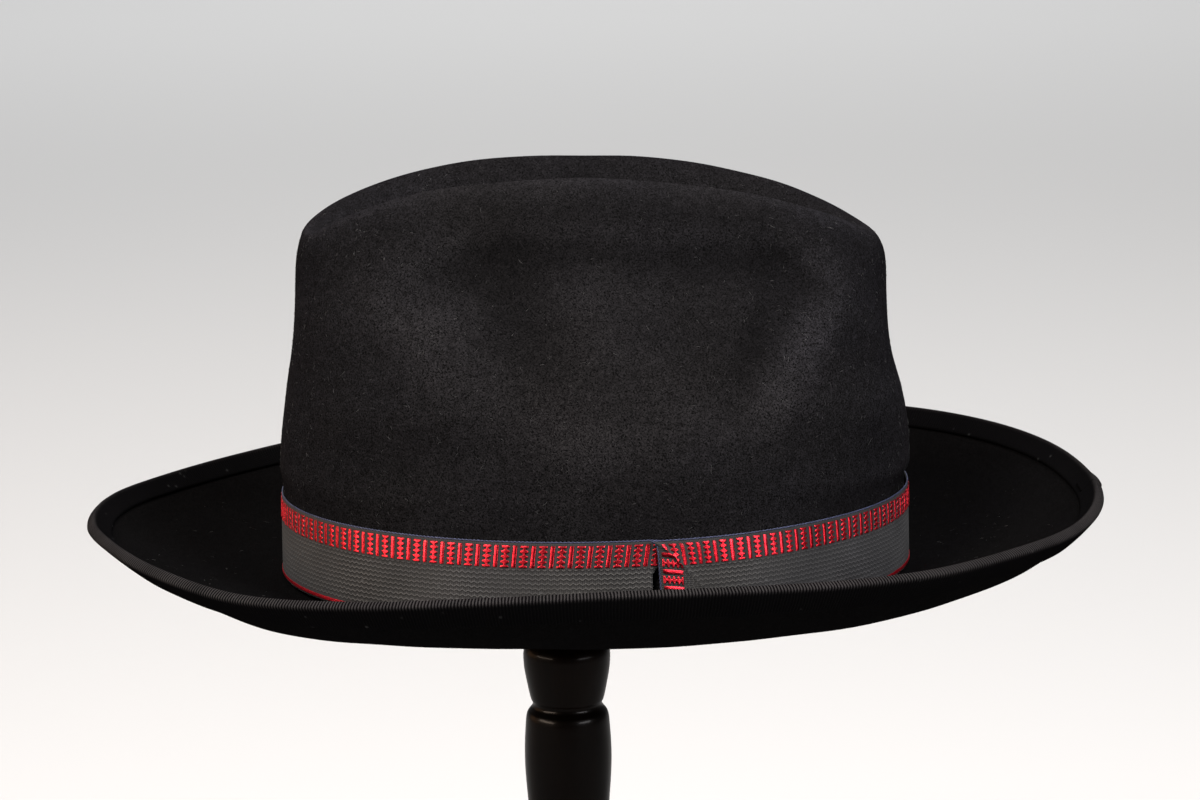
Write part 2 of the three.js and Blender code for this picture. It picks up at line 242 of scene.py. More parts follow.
# Slow uneven tone, such as dye that took unevenly, handling and polish: one value around 0.5.
mottle, entry, leave = new_group(
    "Uneven tone",
    [("Scale", "Float", 40.0), ("Contrast", "Float", 1.0)],
    [("Tone", "Float")],
)
cloud = noise(mottle, entry.outputs["Scale"], Detail=3.0)
swing = times(mottle, reckon(mottle, "SUBTRACT", cloud, 0.5), entry.outputs["Contrast"])
mottle.links.new(plus(mottle, swing, 0.5), leave.inputs["Tone"])


def uneven(tree, scale, contrast):
    """The uneven tone in a material, at that material's own scale."""
    return use_group(tree, mottle, Scale=scale, Contrast=contrast).outputs["Tone"]


# Lint: sparse tiny pale specks of dust and loose fibre, 1 on a speck and 0 elsewhere.
lint, entry, leave = new_group(
    "Lint",
    [("Scale", "Float", 300.0), ("Share", "Float", 0.1), ("Size", "Float", 0.2)],
    [("Mask", "Float")],
)
place = add(lint, "TexCoord").outputs["Object"]
cells = add(lint, "TexVoronoi", {"Vector": place, "Scale": entry.outputs["Scale"]})
chance = add(lint, "SeparateColor", {"Color": cells.outputs["Color"]}).outputs["Red"]
chosen = reckon(lint, "LESS_THAN", chance, entry.outputs["Share"])
nearness = reckon(lint, "DIVIDE", cells.outputs["Distance"], entry.outputs["Size"])
speck = add(lint, "Math", {0: 1.0, 1: nearness}, operation="SUBTRACT", use_clamp=True)
lint.links.new(times(lint, speck.outputs[0], chosen), leave.inputs["Mask"])


def dusted(tree, colour, shade, strength, scale, share, size):
    """A colour with specks of lint on it, in their own shade."""
    specks = use_group(tree, lint, Scale=scale, Share=share, Size=size).outputs["Mask"]
    return blend_colours(tree, times(tree, specks, strength), colour, shade)


WOOD_DARK = (0.0007, 0.0004, 0.0003, 1)
WOOD_LIGHT = (0.0064, 0.0029, 0.0013, 1)
WOOD_DUST = {
    "shade": (0.12, 0.11, 0.10, 1), "strength": 0.25, "scale": 260.0, "share": 0.06, "size": 0.12,
}
WOOD_PORES = (260, 260, 14)
WOOD_FIGURE = (55, 20, 4)
WOOD_STREAKS = 2.6
wood, tree, shader = new_material(
    "Black stained wood",
    Coat_Weight=0.05,
    Coat_Roughness=0.14,
    Coat_IOR=1.4,
    Specular_IOR_Level=0.02,
)
pores = noise(tree, 1.0, stretched(tree, WOOD_PORES), Detail=6.0, Roughness=0.6)
figure = noise(tree, 1.0, stretched(tree, WOOD_FIGURE), Detail=4.0, Distortion=1.5)
tone = uneven(tree, scale=22.0, contrast=1.2)
stain = blend_colours(tree, times(tree, pores, figure, WOOD_STREAKS, tone), WOOD_DARK, WOOD_LIGHT)
stain = dusted(tree, stain, **WOOD_DUST)
set_surface(
    tree, shader, stain, shine=tone, rough=(0.24, 0.44), height=pores, strength=0.12, depth=0.0004,
)

dome_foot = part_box("stand_dome")[0].z / MM
post_rows = POST_TURNINGS + [(dome_foot - POST_TOP["gap"], POST_TOP["radius"])]
dome_rows = [
    (dome_foot, DOME["foot"]), (dome_foot + DOME["turn_rise"], DOME["turn"]),
    (dome_foot + DOME["lip_rise"], DOME["lip"]), (dome_foot + DOME["edge"], DOME["radius"]),
]
for row in range(1, DOME_ROWS):
    swing = (row / DOME_ROWS) * math.pi / 2
    rise = (DOME["height"] - DOME["edge"]) * math.sin(swing)
    dome_rows.append((dome_foot + DOME["edge"] + rise, DOME["radius"] * math.cos(swing)))
foot = turn_on_lathe("stand_foot_turned", smooth_rows(FOOT_TURNINGS))
post = turn_on_lathe("stand_post_turned", smooth_rows(post_rows))
dome = turn_on_lathe("stand_dome_turned", dome_rows)
for piece, node in ((foot, "stand_base"), (post, "stand_post"), (dome, "stand_dome")):
    piece.data.materials.append(wood)
    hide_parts(node)

# The hat's felt: one sheet of short brushed fur felt, blocked into a crown with a long dent
# along the top and a soft hollow in each side, and a brim that curls up all round. Its finish
# is matt black with a fine nap that catches light at a low angle.
FOLD_HEIGHT = 195.0
HAT_BEHIND_STAND = 11.0
FELT = 2.0
FOLD_RADIUS = 2.5
HAT_CENTRE = np.array([0.0, HAT_BEHIND_STAND, FOLD_HEIGHT])
CREST = {"height": 133.8, "tilt": -4.0, "sag": 12.2, "end_drop": 10.5, "half_length": 95.0}
DENT = {"depth": 25.0, "run_out": 4}
CROWN_SECTIONS = np.array([
    # drop, front, back, side, square
    (0.0, 93.4, 89.5, 28.0, 3.1),
    (0.006, 94.6, 91.4, 32.0, 3.0),
    (0.025, 95.6, 93.2, 37.5, 2.9),
    (0.06, 96.7, 94.8, 45.0, 2.7),
    (0.11, 97.6, 95.5, 53.5, 2.5),
    (0.18, 98.2, 95.7, 62.5, 2.35),
    (0.26, 98.8, 96.0, 70.0, 2.25),
    (0.36, 99.7, 97.2, 76.0, 2.15),
    (0.47, 101.1, 99.8, 80.0, 2.1),
    (0.58, 102.2, 101.3, 82.5, 2.0),
    (0.7, 102.9, 102.0, 83.9, 2.0),
    (0.85, 103.4, 102.5, 84.8, 2.0),
    (1.0, 103.6, 102.7, 85.0, 2.0),
])
PINCH = {
    "depth": 14.0, "centre": 2.0, "front": 82.0, "front_low": 52.0, "front_soft": 50.0,
    "back": 75.0, "back_low": 46.0, "back_soft": 25.0, "deepest": 0.2, "lowest": 0.62,
}
SWELL = {"front": 1.1, "back": 2.2, "from": 0.28, "full": 0.62, "fades": 0.695, "none": 0.737}
RIM = {"front": 165.7, "back": 164.8, "side": 139.0, "square": 2.1}
RIM_LIFT = np.array([
    # angle from the back, lift on the left, lift on the right, slope at the edge
    (0, 26.8, 26.8, 48), (15, 25.6, 28.6, 50), (30, 24.5, 29.6, 54), (45, 24.8, 29.6, 60),
    (60, 24.2, 28.0, 66), (90, 26.3, 26.0, 74), (105, 24.7, 24.0, 71), (120, 21.7, 21.8, 65),
    (135, 19.8, 19.8, 58), (150, 22.2, 19.4, 50), (165, 24.2, 21.0, 44), (180, 22.6, 22.6, 42),
], float)
BRIM = {"flat_reach": 22.0, "rise": 0.6, "edge_pull": 18.0}
NUDGE = {"along": 0.002, "angle": 0.004}
FELT_SIDES = 340
DENT_ROWS = 30
CROWN_ROWS = [(0, 0.03, 8), (0.03, 0.14, 10), (0.14, 0.7, 33), (0.7, 1, 11)]
FOLD_ROWS = 6
BRIM_ROWS = 48
WAVE_COUNT = 28
WAVE_LENGTHS = (22.0, 90.0)
WAVE_HEIGHT = 0.16
WAVE_FADE = {"from": 0.72, "over": 0.12}


def power(value, exponent):
    """A power that keeps the sign."""
    return np.sign(value) * np.abs(value) ** exponent


def smooth_step(value, start=0.0, end=1.0):
    """From 0 at the start to 1 at the end, without a corner."""
    t = np.clip((value - start) / (end - start), 0, 1)
    return t * t * (3 - 2 * t)


def unit(vectors):
    """The same directions, with a length of 1."""
    return vectors / np.linalg.norm(vectors, axis=-1, keepdims=True)


def oval_point(angle, front, back, side, square):
    """A rounded oval; angle 0 is the back and a quarter turn is the wearer's left."""
    backward = np.cos(angle)
    x = side * power(np.sin(angle), 2 / square)
    y = np.where(backward < 0, front, back) * power(backward, 2 / square)
    return x, y


def crest_height(y):
    """The height of the crown's ridge line at a place along the hat."""
    along = y / CREST["half_length"]
    level = CREST["height"] + CREST["tilt"] * along
    return level - CREST["sag"] * along**2 - CREST["end_drop"] * along**4


def dent_point(angle, reach):
    """The valley inside the crest, from its middle (0) to the crest (1)."""
    front, back, side, square = CROWN_SECTIONS[0, 1:]
    x, y = oval_point(angle, front, back, side, square)
    x = x * reach
    y = y * reach
    along = np.minimum(np.abs(y) / np.where(y < 0, front, back), 1)
    half_width = side * np.maximum(1 - along**square, 1e-6) ** (1 / square)
    across = np.minimum(np.abs(x) / half_width, 1)
    depth = DENT["depth"] * (1 - along ** DENT["run_out"]) ** 2
    z = crest_height(y) - depth * (1 + np.cos(np.pi * across)) / 2
    return np.stack([x, y, z], axis=-1)


def pinch(y, drop):
    """How far the side hollow takes the wall inward."""
    along = y - PINCH["centre"]
    lowered = np.clip((drop - PINCH["deepest"]) / (PINCH["lowest"] - PINCH["deepest"]), 0, 1)
    front_room = PINCH["front"] + (PINCH["front_low"] - PINCH["front"]) * lowered + along
    back_room = PINCH["back"] + (PINCH["back_low"] - PINCH["back"]) * lowered - along
    front_soft = smooth_step(front_room / PINCH["front_soft"])
    back_soft = smooth_step(back_room / PINCH["back_soft"])
    lengthwise = np.where(along < 0, front_soft, back_soft)
    upper = smooth_step(drop / PINCH["deepest"])
    return PINCH["depth"] * lengthwise * upper * smooth_step(1 - lowered)


def crest_over(angle):
    """The ridge line's height at an angle round the hat."""
    return crest_height(oval_point(angle, *CROWN_SECTIONS[0, 1:])[1])


def crown_point(angle, drop):
    """The crown's wall, from the crest (0) to the fold (1)."""
    angle, drop = np.broadcast_arrays(np.asarray(angle, float), np.asarray(drop, float))
    x, y = oval_point(angle, *(column(CROWN_SECTIONS, place, drop) for place in range(1, 5)))
    x = x - np.sign(x) * pinch(y, drop) * np.abs(np.sin(angle))
    swell = smooth_step(drop, SWELL["from"], SWELL["full"])
    swell = swell * smooth_step(drop, SWELL["none"], SWELL["fades"])
    backward = np.cos(angle)
    y = y + swell * np.where(backward < 0, -SWELL["front"], SWELL["back"]) * backward**2
    z = crest_over(angle) * (1 - drop) + FOLD_RADIUS * drop
    return np.stack([x, y, z], axis=-1)


def fold_point(angle, turn):
    """The quarter round between the crown's wall and the brim."""
    angle, turn = np.broadcast_arrays(np.asarray(angle, float), np.asarray(turn, float))
    foot_oval = np.stack(oval_point(angle, *CROWN_SECTIONS[-1, 1:]), axis=-1)
    outward = unit(np.stack(oval_point(angle, *RIM.values()), axis=-1) - foot_oval)
    swing = turn * np.pi / 2
    flat = foot_oval + outward * (FOLD_RADIUS * (1 - np.cos(swing)))[..., None]
    return np.concatenate([flat, (FOLD_RADIUS * (1 - np.sin(swing)))[..., None]], axis=-1)


def brim_point(angle, reach):
    """The brim, from the fold (0) to the felt's edge (1)."""
    angle, reach = np.broadcast_arrays(np.asarray(angle, float), np.asarray(reach, float))
    start = fold_point(angle, 1.0)
    rim_oval = np.stack(oval_point(angle, *RIM.values()), axis=-1)
    outward = rim_oval - start[..., :2]
    width = np.linalg.norm(outward, axis=-1)
    outward /= width[..., None]
    degrees = np.degrees(angle) % 360
    half = np.where(degrees > 180, 360 - degrees, degrees)
    lift = np.where(degrees > 180, column(RIM_LIFT, 2, half), column(RIM_LIFT, 1, half))
    slope = np.radians(column(RIM_LIFT, 3, half))
    corners = (
        (0, 0),
        (BRIM["flat_reach"], BRIM["rise"]),
        (width - BRIM["edge_pull"] * np.cos(slope), lift - BRIM["edge_pull"] * np.sin(slope)),
        (width, lift),
    )
    weights = ((1 - reach) ** 3, 3 * reach * (1 - reach) ** 2, 3 * reach**2 * (1 - reach), reach**3)
    out = sum(weight * corner[0] for weight, corner in zip(weights, corners))
    up = sum(weight * corner[1] for weight, corner in zip(weights, corners))
    flat = start[..., :2] + outward * out[..., None]
    return np.concatenate([flat, up[..., None]], axis=-1)


def skin_normal(zone, angle, along):
    """The felt's outward direction at a place of a zone."""
    ahead = np.minimum(along + NUDGE["along"], 1)
    behind = np.maximum(along - NUDGE["along"], 0)
    around = zone(angle + NUDGE["angle"], along) - zone(angle - NUDGE["angle"], along)
    return unit(np.cross(around, zone(angle, ahead) - zone(angle, behind)))


rng = np.random.default_rng(7)
wave_length = rng.uniform(*WAVE_LENGTHS, WAVE_COUNT)
wave_way = unit(rng.normal(size=(WAVE_COUNT, 3)))
wave_start = rng.uniform(0, 2 * np.pi, WAVE_COUNT)


def hand_made(points):
    """A small smooth unevenness of a hand-blocked hat, for points in millimetres."""
    total = 0
    for length, way, start in zip(wave_length, wave_way, wave_start):
        phase = points @ way * (2 * np.pi / length) + start
        total = total + (length / WAVE_LENGTHS[1]) * np.sin(phase)
    return WAVE_HEIGHT * total


angles = np.linspace(0, 2 * np.pi, FELT_SIDES, endpoint=False)[None, :]
dent_reaches = np.linspace(0, 1, DENT_ROWS + 1)[1:-1, None]
drops = [np.linspace(start, end, rows, endpoint=False) for start, end, rows in CROWN_ROWS]
drops = np.concatenate(drops + [[1.0]])[:, None]
turns = np.linspace(0, 1, FOLD_ROWS + 1)[1:-1, None]
reaches = np.linspace(0, 1, BRIM_ROWS)[:, None]
upper = np.concatenate([
    dent_point(angles, dent_reaches), crown_point(angles, drops), fold_point(angles, turns),
    brim_point(angles, reaches),
])
round_way = np.roll(upper, -1, axis=1) - np.roll(upper, 1, axis=1)
down_way = np.gradient(upper, axis=0)
outward = unit(np.cross(round_way, down_way))
edge_fade = np.ones((len(upper), 1))
edge_fade[-BRIM_ROWS:] = 1 - smooth_step((reaches - WAVE_FADE["from"]) / WAVE_FADE["over"])
upper = upper + outward * (hand_made(upper) * edge_fade)[..., None]
lower = upper - FELT * outward
rings = np.concatenate([lower, upper[::-1]])
middle = dent_point(np.array(0.0), np.array(0.0))
middle[2] += hand_made(middle)
points = np.concatenate([rings.reshape(-1, 3), [middle - (0, 0, FELT)], [middle]]) + HAT_CENTRE
last_ring = (len(rings) - 1) * FELT_SIDES
tips = []
for side in range(FELT_SIDES):
    after = (side + 1) % FELT_SIDES
    tips.append((len(points) - 2, side, after))
    tips.append((len(points) - 1, last_ring + after, last_ring + side))
felt = make_piece("felt_hat_body", points, grid_faces(len(rings), FELT_SIDES, False), tips)

# Painted light and shade on the felt's nap: the crown's wall is painted lighter than the dent, and the
# brim darkest as painted shade; painted highlights run along the ridges and the crest, and painted
# shade lies in the hollows and in a band just under the crest.
NAP_PAINTED_LIGHT = {"dent": 0.34, "wall": 0.46, "brim": 0.05, "crest": 0.12, "crest_width": 0.016}
SHADED = {"drop": 0.085, "reach": 0.075, "share": 0.42}
HOLLOW_SHADE = {"drop": 0.33, "reach": 0.17, "half_length": 52.0, "share": 0.24}
RIDGE = {
    "reach": 9.0, "flat": 0.3, "full": 0.8, "lighter": 0.3, "darker": 0.2,
    "begins": 0.05, "soft": 0.08, "ends": 0.9, "low_soft": 0.15,
}


def store(piece, name, values):
    """A value at each point of a piece, which its material reads."""
    layer = piece.data.attributes.new(name, "FLOAT", "POINT")
    layer.data.foreach_set("value", np.asarray(values, np.float32).ravel())


def stored(tree, name):
    """A value that a piece keeps at its points, in its material."""
    return add(tree, "Attribute", None, attribute_name=name).outputs["Fac"]


# Painted highlight on the wall's convex ridges and painted shade in its concave places, from how far
# the wall bends.
ridge_turn = RIDGE["reach"] / np.linalg.norm(crown_point(angles, drops)[..., :2], axis=-1)
ridge_drop = RIDGE["reach"] / CREST["height"]
neighbours = crown_point(angles + ridge_turn, drops) + crown_point(angles - ridge_turn, drops)
neighbours = neighbours + crown_point(angles, np.minimum(drops + ridge_drop, 1))
neighbours = (neighbours + crown_point(angles, np.maximum(drops - ridge_drop, 0))) / 4
wall = crown_point(angles, drops)
convex = np.sum((wall - neighbours) * skin_normal(crown_point, angles, drops), axis=-1)
ridge = np.clip((convex - RIDGE["flat"]) / RIDGE["full"], -1, 1)
ridge = np.where(ridge > 0, RIDGE["lighter"] * ridge, RIDGE["darker"] * ridge)
ridge = ridge * smooth_step((drops - RIDGE["begins"]) / RIDGE["soft"])
ridge = ridge * smooth_step((RIDGE["ends"] - drops) / RIDGE["low_soft"])
nap_painted_light = np.full(upper.shape[:2], NAP_PAINTED_LIGHT["brim"])
wall_rows = slice(DENT_ROWS - 1, DENT_ROWS - 1 + len(drops))
nap_painted_light[:DENT_ROWS - 1] = NAP_PAINTED_LIGHT["dent"]
# A painted highlight: a thin lighter line along the crest.
crest_painted_highlight = NAP_PAINTED_LIGHT["crest"] * np.exp(-((drops / NAP_PAINTED_LIGHT["crest_width"]) ** 2))
# Painted shade in a band just under the crest, and in the middle of each side hollow.
upper_wall = 1 - SHADED["share"] * np.exp(-(((drops - SHADED["drop"]) / SHADED["reach"]) ** 2))
in_hollow = np.exp(-((wall[..., 1] / HOLLOW_SHADE["half_length"]) ** 4))
in_hollow = in_hollow * np.exp(-(((drops - HOLLOW_SHADE["drop"]) / HOLLOW_SHADE["reach"]) ** 2))
upper_wall = upper_wall * (1 - HOLLOW_SHADE["share"] * in_hollow)
nap_painted_light[wall_rows] = (NAP_PAINTED_LIGHT["wall"] + ridge) * upper_wall + crest_painted_highlight
# The felt's underside gets the brim's darkest value, as painted shade.
under_side = np.full(nap_painted_light.size, NAP_PAINTED_LIGHT["brim"])
both_faces = np.concatenate([under_side, nap_painted_light[::-1].ravel(), [NAP_PAINTED_LIGHT["dent"]] * 2])
store(felt, "NapPaintedLight", both_faces)

FELT_DARK = (0.0020, 0.0019, 0.0019, 1)
FELT_LIGHT = (0.0490, 0.0465, 0.0545, 1)
FELT_WARM = (0.0530, 0.0485, 0.0490, 1)
NAP = {"least_tuft": 0.25, "least_tone": 0.5, "tuft_height": 1.4}
nap, tree, shader = new_material("Black fur felt", Specular_IOR_Level=0.0)
fibres = noise(tree, scale=2100.0, Detail=3.0, Distortion=0.8)
tufts = noise(tree, scale=330.0, Detail=4.0, Distortion=0.8)
crisp = map_range(tree, fibres, low=0.04, high=1.0, start=0.35, end=0.65)
tone = plus(tree, uneven(tree, scale=28.0, contrast=0.8), NAP["least_tone"])
tufted = plus(tree, tufts, NAP["least_tuft"])
# The nap's colour carries the painted light and shade stored on the felt.
nap_share = times(tree, crisp, tufted, tone, stored(tree, "NapPaintedLight"))
hair_tint = blend_colours(tree, uneven(tree, scale=9.0, contrast=2.6), FELT_LIGHT, FELT_WARM)
colour = blend_colours(tree, nap_share, FELT_DARK, hair_tint)
height = plus(tree, fibres, times(tree, tufts, NAP["tuft_height"]))
set_surface(
    tree, shader, colour, shine=tufts, rough=(0.82, 1.0), height=height, strength=0.55, depth=0.0005,
)
felt.data.materials.append(nap)
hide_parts("felt_crown", "felt_brim")

# Loose hairs of the felt: fine paler fur fibres, a millimetre or two long, that have worked out
# of the surface and lie over the nap in every direction.
HAIR_ZONES = [
    # zone of the felt, number of hairs, nearest, farthest
    (crown_point, 5000, 0.01, 0.8),
    (dent_point, 600, 0.3, 0.98),
    (brim_point, 450, 0.08, 0.7),
]
HAIRS = {"rings": 4, "sides": 3}
HAIR_LENGTH = (0.4, 1.9)
HAIR_RADIUS = (0.022, 0.042)
HAIR_BEND = 0.35
HAIR_RISE = {"arch": 0.22, "tip": 1.15, "sunk": 0.03}
HAIR_TAPER = np.array([1.0, 1.0, 0.8, 0.35])[None, :, None]
HAIR_PALE = (0.145, 0.139, 0.137, 1)
HAIR_DULL = (0.024, 0.023, 0.023, 1)
rng = np.random.default_rng(23)


def scatter(zone, count, nearest, farthest):
    """Random places of a zone of the felt: the points and the outward directions there."""
    turn = rng.uniform(0, 2 * np.pi, count)
    along = rng.uniform(nearest, farthest, count)
    point = zone(turn, along)
    normal = skin_normal(zone, turn, along)
    return point + normal * hand_made(point)[:, None], normal


scattered = zip(*(scatter(*zone) for zone in HAIR_ZONES))
roots, normals = (np.concatenate(part) for part in scattered)
total = len(roots)
headings = rng.normal(size=(total, 3))
headings = unit(headings - normals * np.sum(headings * normals, axis=1, keepdims=True))
sideways = np.cross(normals, headings)
length = rng.uniform(*HAIR_LENGTH, (total, 1))
thick = rng.uniform(*HAIR_RADIUS, (total, 1))
bend = rng.normal(0, HAIR_BEND, (total, 1))
line = []
for s in np.linspace(0, 1, HAIRS["rings"]):
    rise = HAIR_RISE["arch"] * s * (HAIR_RISE["tip"] - s) * length - HAIR_RISE["sunk"]
    line.append(roots + headings * length * s + sideways * length * bend * s * s + normals * rise)
line = np.stack(line, axis=1)
corner_turns = 2 * np.pi * np.arange(HAIRS["sides"]) / HAIRS["sides"]
rings = []
for turn in corner_turns:
    way = sideways[:, None] * math.cos(turn) + normals[:, None] * math.sin(turn)
    rings.append(line + way * thick[:, None] * HAIR_TAPER)
points = np.stack(rings, axis=2).reshape(-1, 3) + HAT_CENTRE
ring_points = HAIRS["rings"] * HAIRS["sides"]
wall_faces = grid_faces(HAIRS["rings"], HAIRS["sides"], False)
hair_starts = np.arange(total)[:, None, None] * ring_points
quads = (hair_starts + wall_faces[None]).reshape(-1, 4)
caps = np.array([[0, 1, 2], [ring_points - 1, ring_points - 2, ring_points - 3]])
caps = (hair_starts + caps[None]).reshape(-1, 3)
hairs = make_piece("felt_loose_hairs", points, quads, caps.tolist())

fluff, tree, shader = new_material("Loose fur hairs", Roughness=0.8, Specular_IOR_Level=0.0)
pale = map_range(tree, uneven(tree, scale=240.0, contrast=4.0), 0.0, 1.0, start=0.35, end=1.1)
tree.links.new(blend_colours(tree, pale, HAIR_DULL, HAIR_PALE), shader.inputs["Base Color"])
hairs.data.materials.append(fluff)

# The sweatband: a strip of thin dark leather inside the head opening, turned up against the
# felt and sewn to it along its lower edge. Its upper edge curls a little inward.
SWEATBAND = {
    "height": 34.0, "thickness": 1.2, "above": 0.5, "gap": 0.3, "round": 0.35, "curl": 0.5,
    "rows": 12, "sides": 360,
}
LEATHER_DARK = (0.012, 0.0075, 0.0055, 1)
LEATHER_LIGHT = (0.034, 0.021, 0.015, 1)
CREASE_HEIGHT = 0.7


def wall_place(angle, height):
    """The crown's outer wall at a height over the fold, and its level outward direction."""
    angle, height = np.broadcast_arrays(np.asarray(angle, float), np.asarray(height, float))
    crest = crest_over(angle)
    drop = np.minimum((crest - height) / (crest - FOLD_RADIUS), 1)
    point = crown_point(angle, drop)
    point[..., 2] = height
    return point, unit(skin_normal(crown_point, angle, drop) * (1, 1, 0))


def wall_point(angle, height, distance):
    """A point at a level distance from the crown's outer wall."""
    point, outward = wall_place(angle, height)
    return point + outward * np.asarray(distance)[..., None]


around = np.linspace(0, 2 * np.pi, SWEATBAND["sides"], endpoint=False)[None, :]
climb = np.linspace(0, 1, SWEATBAND["rows"])
tall = SWEATBAND["above"] + SWEATBAND["height"] * climb
edge_round = SWEATBAND["round"] * np.abs(2 * climb - 1) ** 8
curl = SWEATBAND["curl"] * smooth_step(4 * climb - 3)
outer_face = -(FELT + SWEATBAND["gap"]) - edge_round
inner_face = -(FELT + SWEATBAND["gap"] + SWEATBAND["thickness"]) + edge_round - curl
loop_height = np.concatenate([tall, tall[::-1]])[:, None]
loop_distance = np.concatenate([outer_face, inner_face[::-1]])[:, None]
loop_distance = np.broadcast_to(loop_distance, (len(loop_distance), SWEATBAND["sides"]))
loop = wall_point(around, loop_height, loop_distance)
faces = grid_faces(len(loop), SWEATBAND["sides"], True)[:, ::-1]
sweatband = make_piece("sweatband_leather", (loop + HAT_CENTRE).reshape(-1, 3), faces)

leather, tree, shader = new_material("Dark brown leather", Specular_IOR_Level=0.4)
place = add(tree, "TexCoord").outputs["Object"]
pebble = add(tree, "TexVoronoi", {"Vector": place, "Scale": 900.0}, feature="SMOOTH_F1")
creases = noise(tree, scale=160.0, Detail=5.0, Distortion=0.6)
colour = blend_colours(tree, uneven(tree, scale=45.0, contrast=1.6), LEATHER_DARK, LEATHER_LIGHT)
height = reckon(tree, "MULTIPLY_ADD", creases, CREASE_HEIGHT, pebble.outputs["Distance"])
set_surface(
    tree, shader, colour, shine=creases, rough=(0.42, 0.66), height=height, strength=0.35, depth=0.0003,
)
sweatband.data.materials.append(leather)
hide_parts("sweatband")

# The ribbon: one woven strip, 27 mm tall and about 0.7 mm thick, wrapped once round the foot
# of the crown. Its far end lies on top of its start on the wearer's left, where it is folded
# down square along a slanted crease and tucked away, so that its upper edge turns down.
RIBBON = {"bottom": 2.0, "height": 27.0, "thickness": 0.7, "gap": 0.3, "under": 16.0}
JOIN = {"y": 7.0, "lift": 1.35, "level": 16.0, "settled": 70.0}
CREASE = {"height": 0.35, "width": 0.8, "fade": 4.0}
BUNCH = {"height": 0.16, "width": 1.2, "begins": 7.5, "full": 10.5, "fades": 14.0, "ends": 20.0}
FOLD_EDGE = {"corner": 2.2, "soft": 0.9, "lean": 0.06, "fades": 26.0}
UNDER_END = {"short": 0.9, "low": 15.5, "high": 28.0, "starts": 30.0, "sinks": 0.9, "over": 8.0}
RIBBON_EDGE = {"round": 0.3, "width": 0.6}
RIBBON_GRID = {"fine": 0.3, "fine_to": 34, "coarse": 1.1, "rows": 46}
TRACE_POINTS = 7201


def lengths_along(line):
    """The length along a line of points, at each of them."""
    steps = np.linalg.norm(np.diff(line, axis=0), axis=1)
    return np.concatenate([[0], np.cumsum(steps)])


trace_angles = np.linspace(0, 2 * np.pi, TRACE_POINTS)
half_up = RIBBON["bottom"] + RIBBON["height"] / 2
trace_lengths = lengths_along(wall_point(trace_angles, half_up, np.ones(TRACE_POINTS)))
ribbon_round = trace_lengths[-1]
join_angle = math.acos(JOIN["y"] / CROWN_SECTIONS[-1, 2])
join_length = np.interp(join_angle, trace_angles, trace_lengths)


def strip_angle(along):
    """The angle round the hat, for a length along the ribbon from its folded end."""
    return np.interp((join_length - along) % ribbon_round, trace_lengths, trace_angles)


def strip_lift(along, up):
    """How far the ribbon's back stands off the felt at a place on it."""
    lift = JOIN["lift"] * (1 - smooth_step(along, JOIN["level"], JOIN["settled"]))
    from_top = RIBBON["height"] - up
    corner = np.minimum(along, from_top)
    crease = CREASE["height"] * np.exp(-(((along - from_top) / CREASE["width"]) ** 2))
    crease = crease * (1 - smooth_step((corner - BUNCH["begins"]) / CREASE["fade"]))
    middle = (along + from_top) / 2
    bunch = BUNCH["height"] * np.exp(-(((along - from_top) / BUNCH["width"]) ** 2))
    bunch = bunch * smooth_step(middle, BUNCH["begins"], BUNCH["full"])
    bunch = bunch * (1 - smooth_step(middle, BUNCH["fades"], BUNCH["ends"]))
    return RIBBON["gap"] + lift + crease + bunch


def drawn_in(along, up):
    """The length round the hat: the folded end's upper corner is drawn to the join."""
    from_top = RIBBON["height"] - up
    shift = FOLD_EDGE["corner"] * (1 - np.exp(-from_top / FOLD_EDGE["soft"]))
    shift = shift + FOLD_EDGE["lean"] * from_top
    return along + shift * (1 - smooth_step(along / FOLD_EDGE["fades"]))


def strip_place(along, up, proud):
    """A point on the ribbon's face, lifted by proud, in millimetres in the part's frame."""
    along, up, proud = np.broadcast_arrays(*(np.asarray(v, float) for v in (along, up, proud)))
    distance = strip_lift(along, up) + RIBBON["thickness"] + proud
    sinks = UNDER_END["sinks"] * smooth_step((along - ribbon_round) / UNDER_END["over"])
    height = RIBBON["bottom"] + up - sinks * up / RIBBON["height"]
    return wall_point(strip_angle(drawn_in(along, up)), height, distance) + HAT_CENTRE


def patch_faces(numbers):
    """Quads of a plain grid of point numbers."""
    corners = (numbers[:-1, :-1], numbers[:-1, 1:], numbers[1:, 1:], numbers[1:, :-1])
    return np.stack(corners, axis=-1).reshape(-1, 4)


def sheet_faces(shape):
    """Faces of a closed sheet: a grid of face points, then the same grid for its back."""
    number = np.arange(shape[0] * shape[1]).reshape(shape)
    behind = number + number.size
    strips = [
        number, behind[:, ::-1],
        np.stack([behind[0], number[0]]), np.stack([number[-1], behind[-1]]),
        np.stack([number[:, 0], behind[:, 0]]), np.stack([behind[:, -1], number[:, -1]]),
    ]
    return np.concatenate([patch_faces(strip) for strip in strips])


def corner_numbers(piece):
    """The number of the point at each corner of a piece's faces."""
    numbers = np.empty(len(piece.data.loops), np.int32)
    piece.data.loops.foreach_get("vertex_index", numbers)
    return numbers


def lay_flat(piece, along, across):
    """The piece laid out as a flat strip, in metres, from millimetres at each corner of its faces."""
    layout = np.stack([along, across], axis=1) * MM
    layer = piece.data.uv_layers.new(name="Strip")
    layer.data.foreach_set("uv", layout.astype(np.float32).ravel())


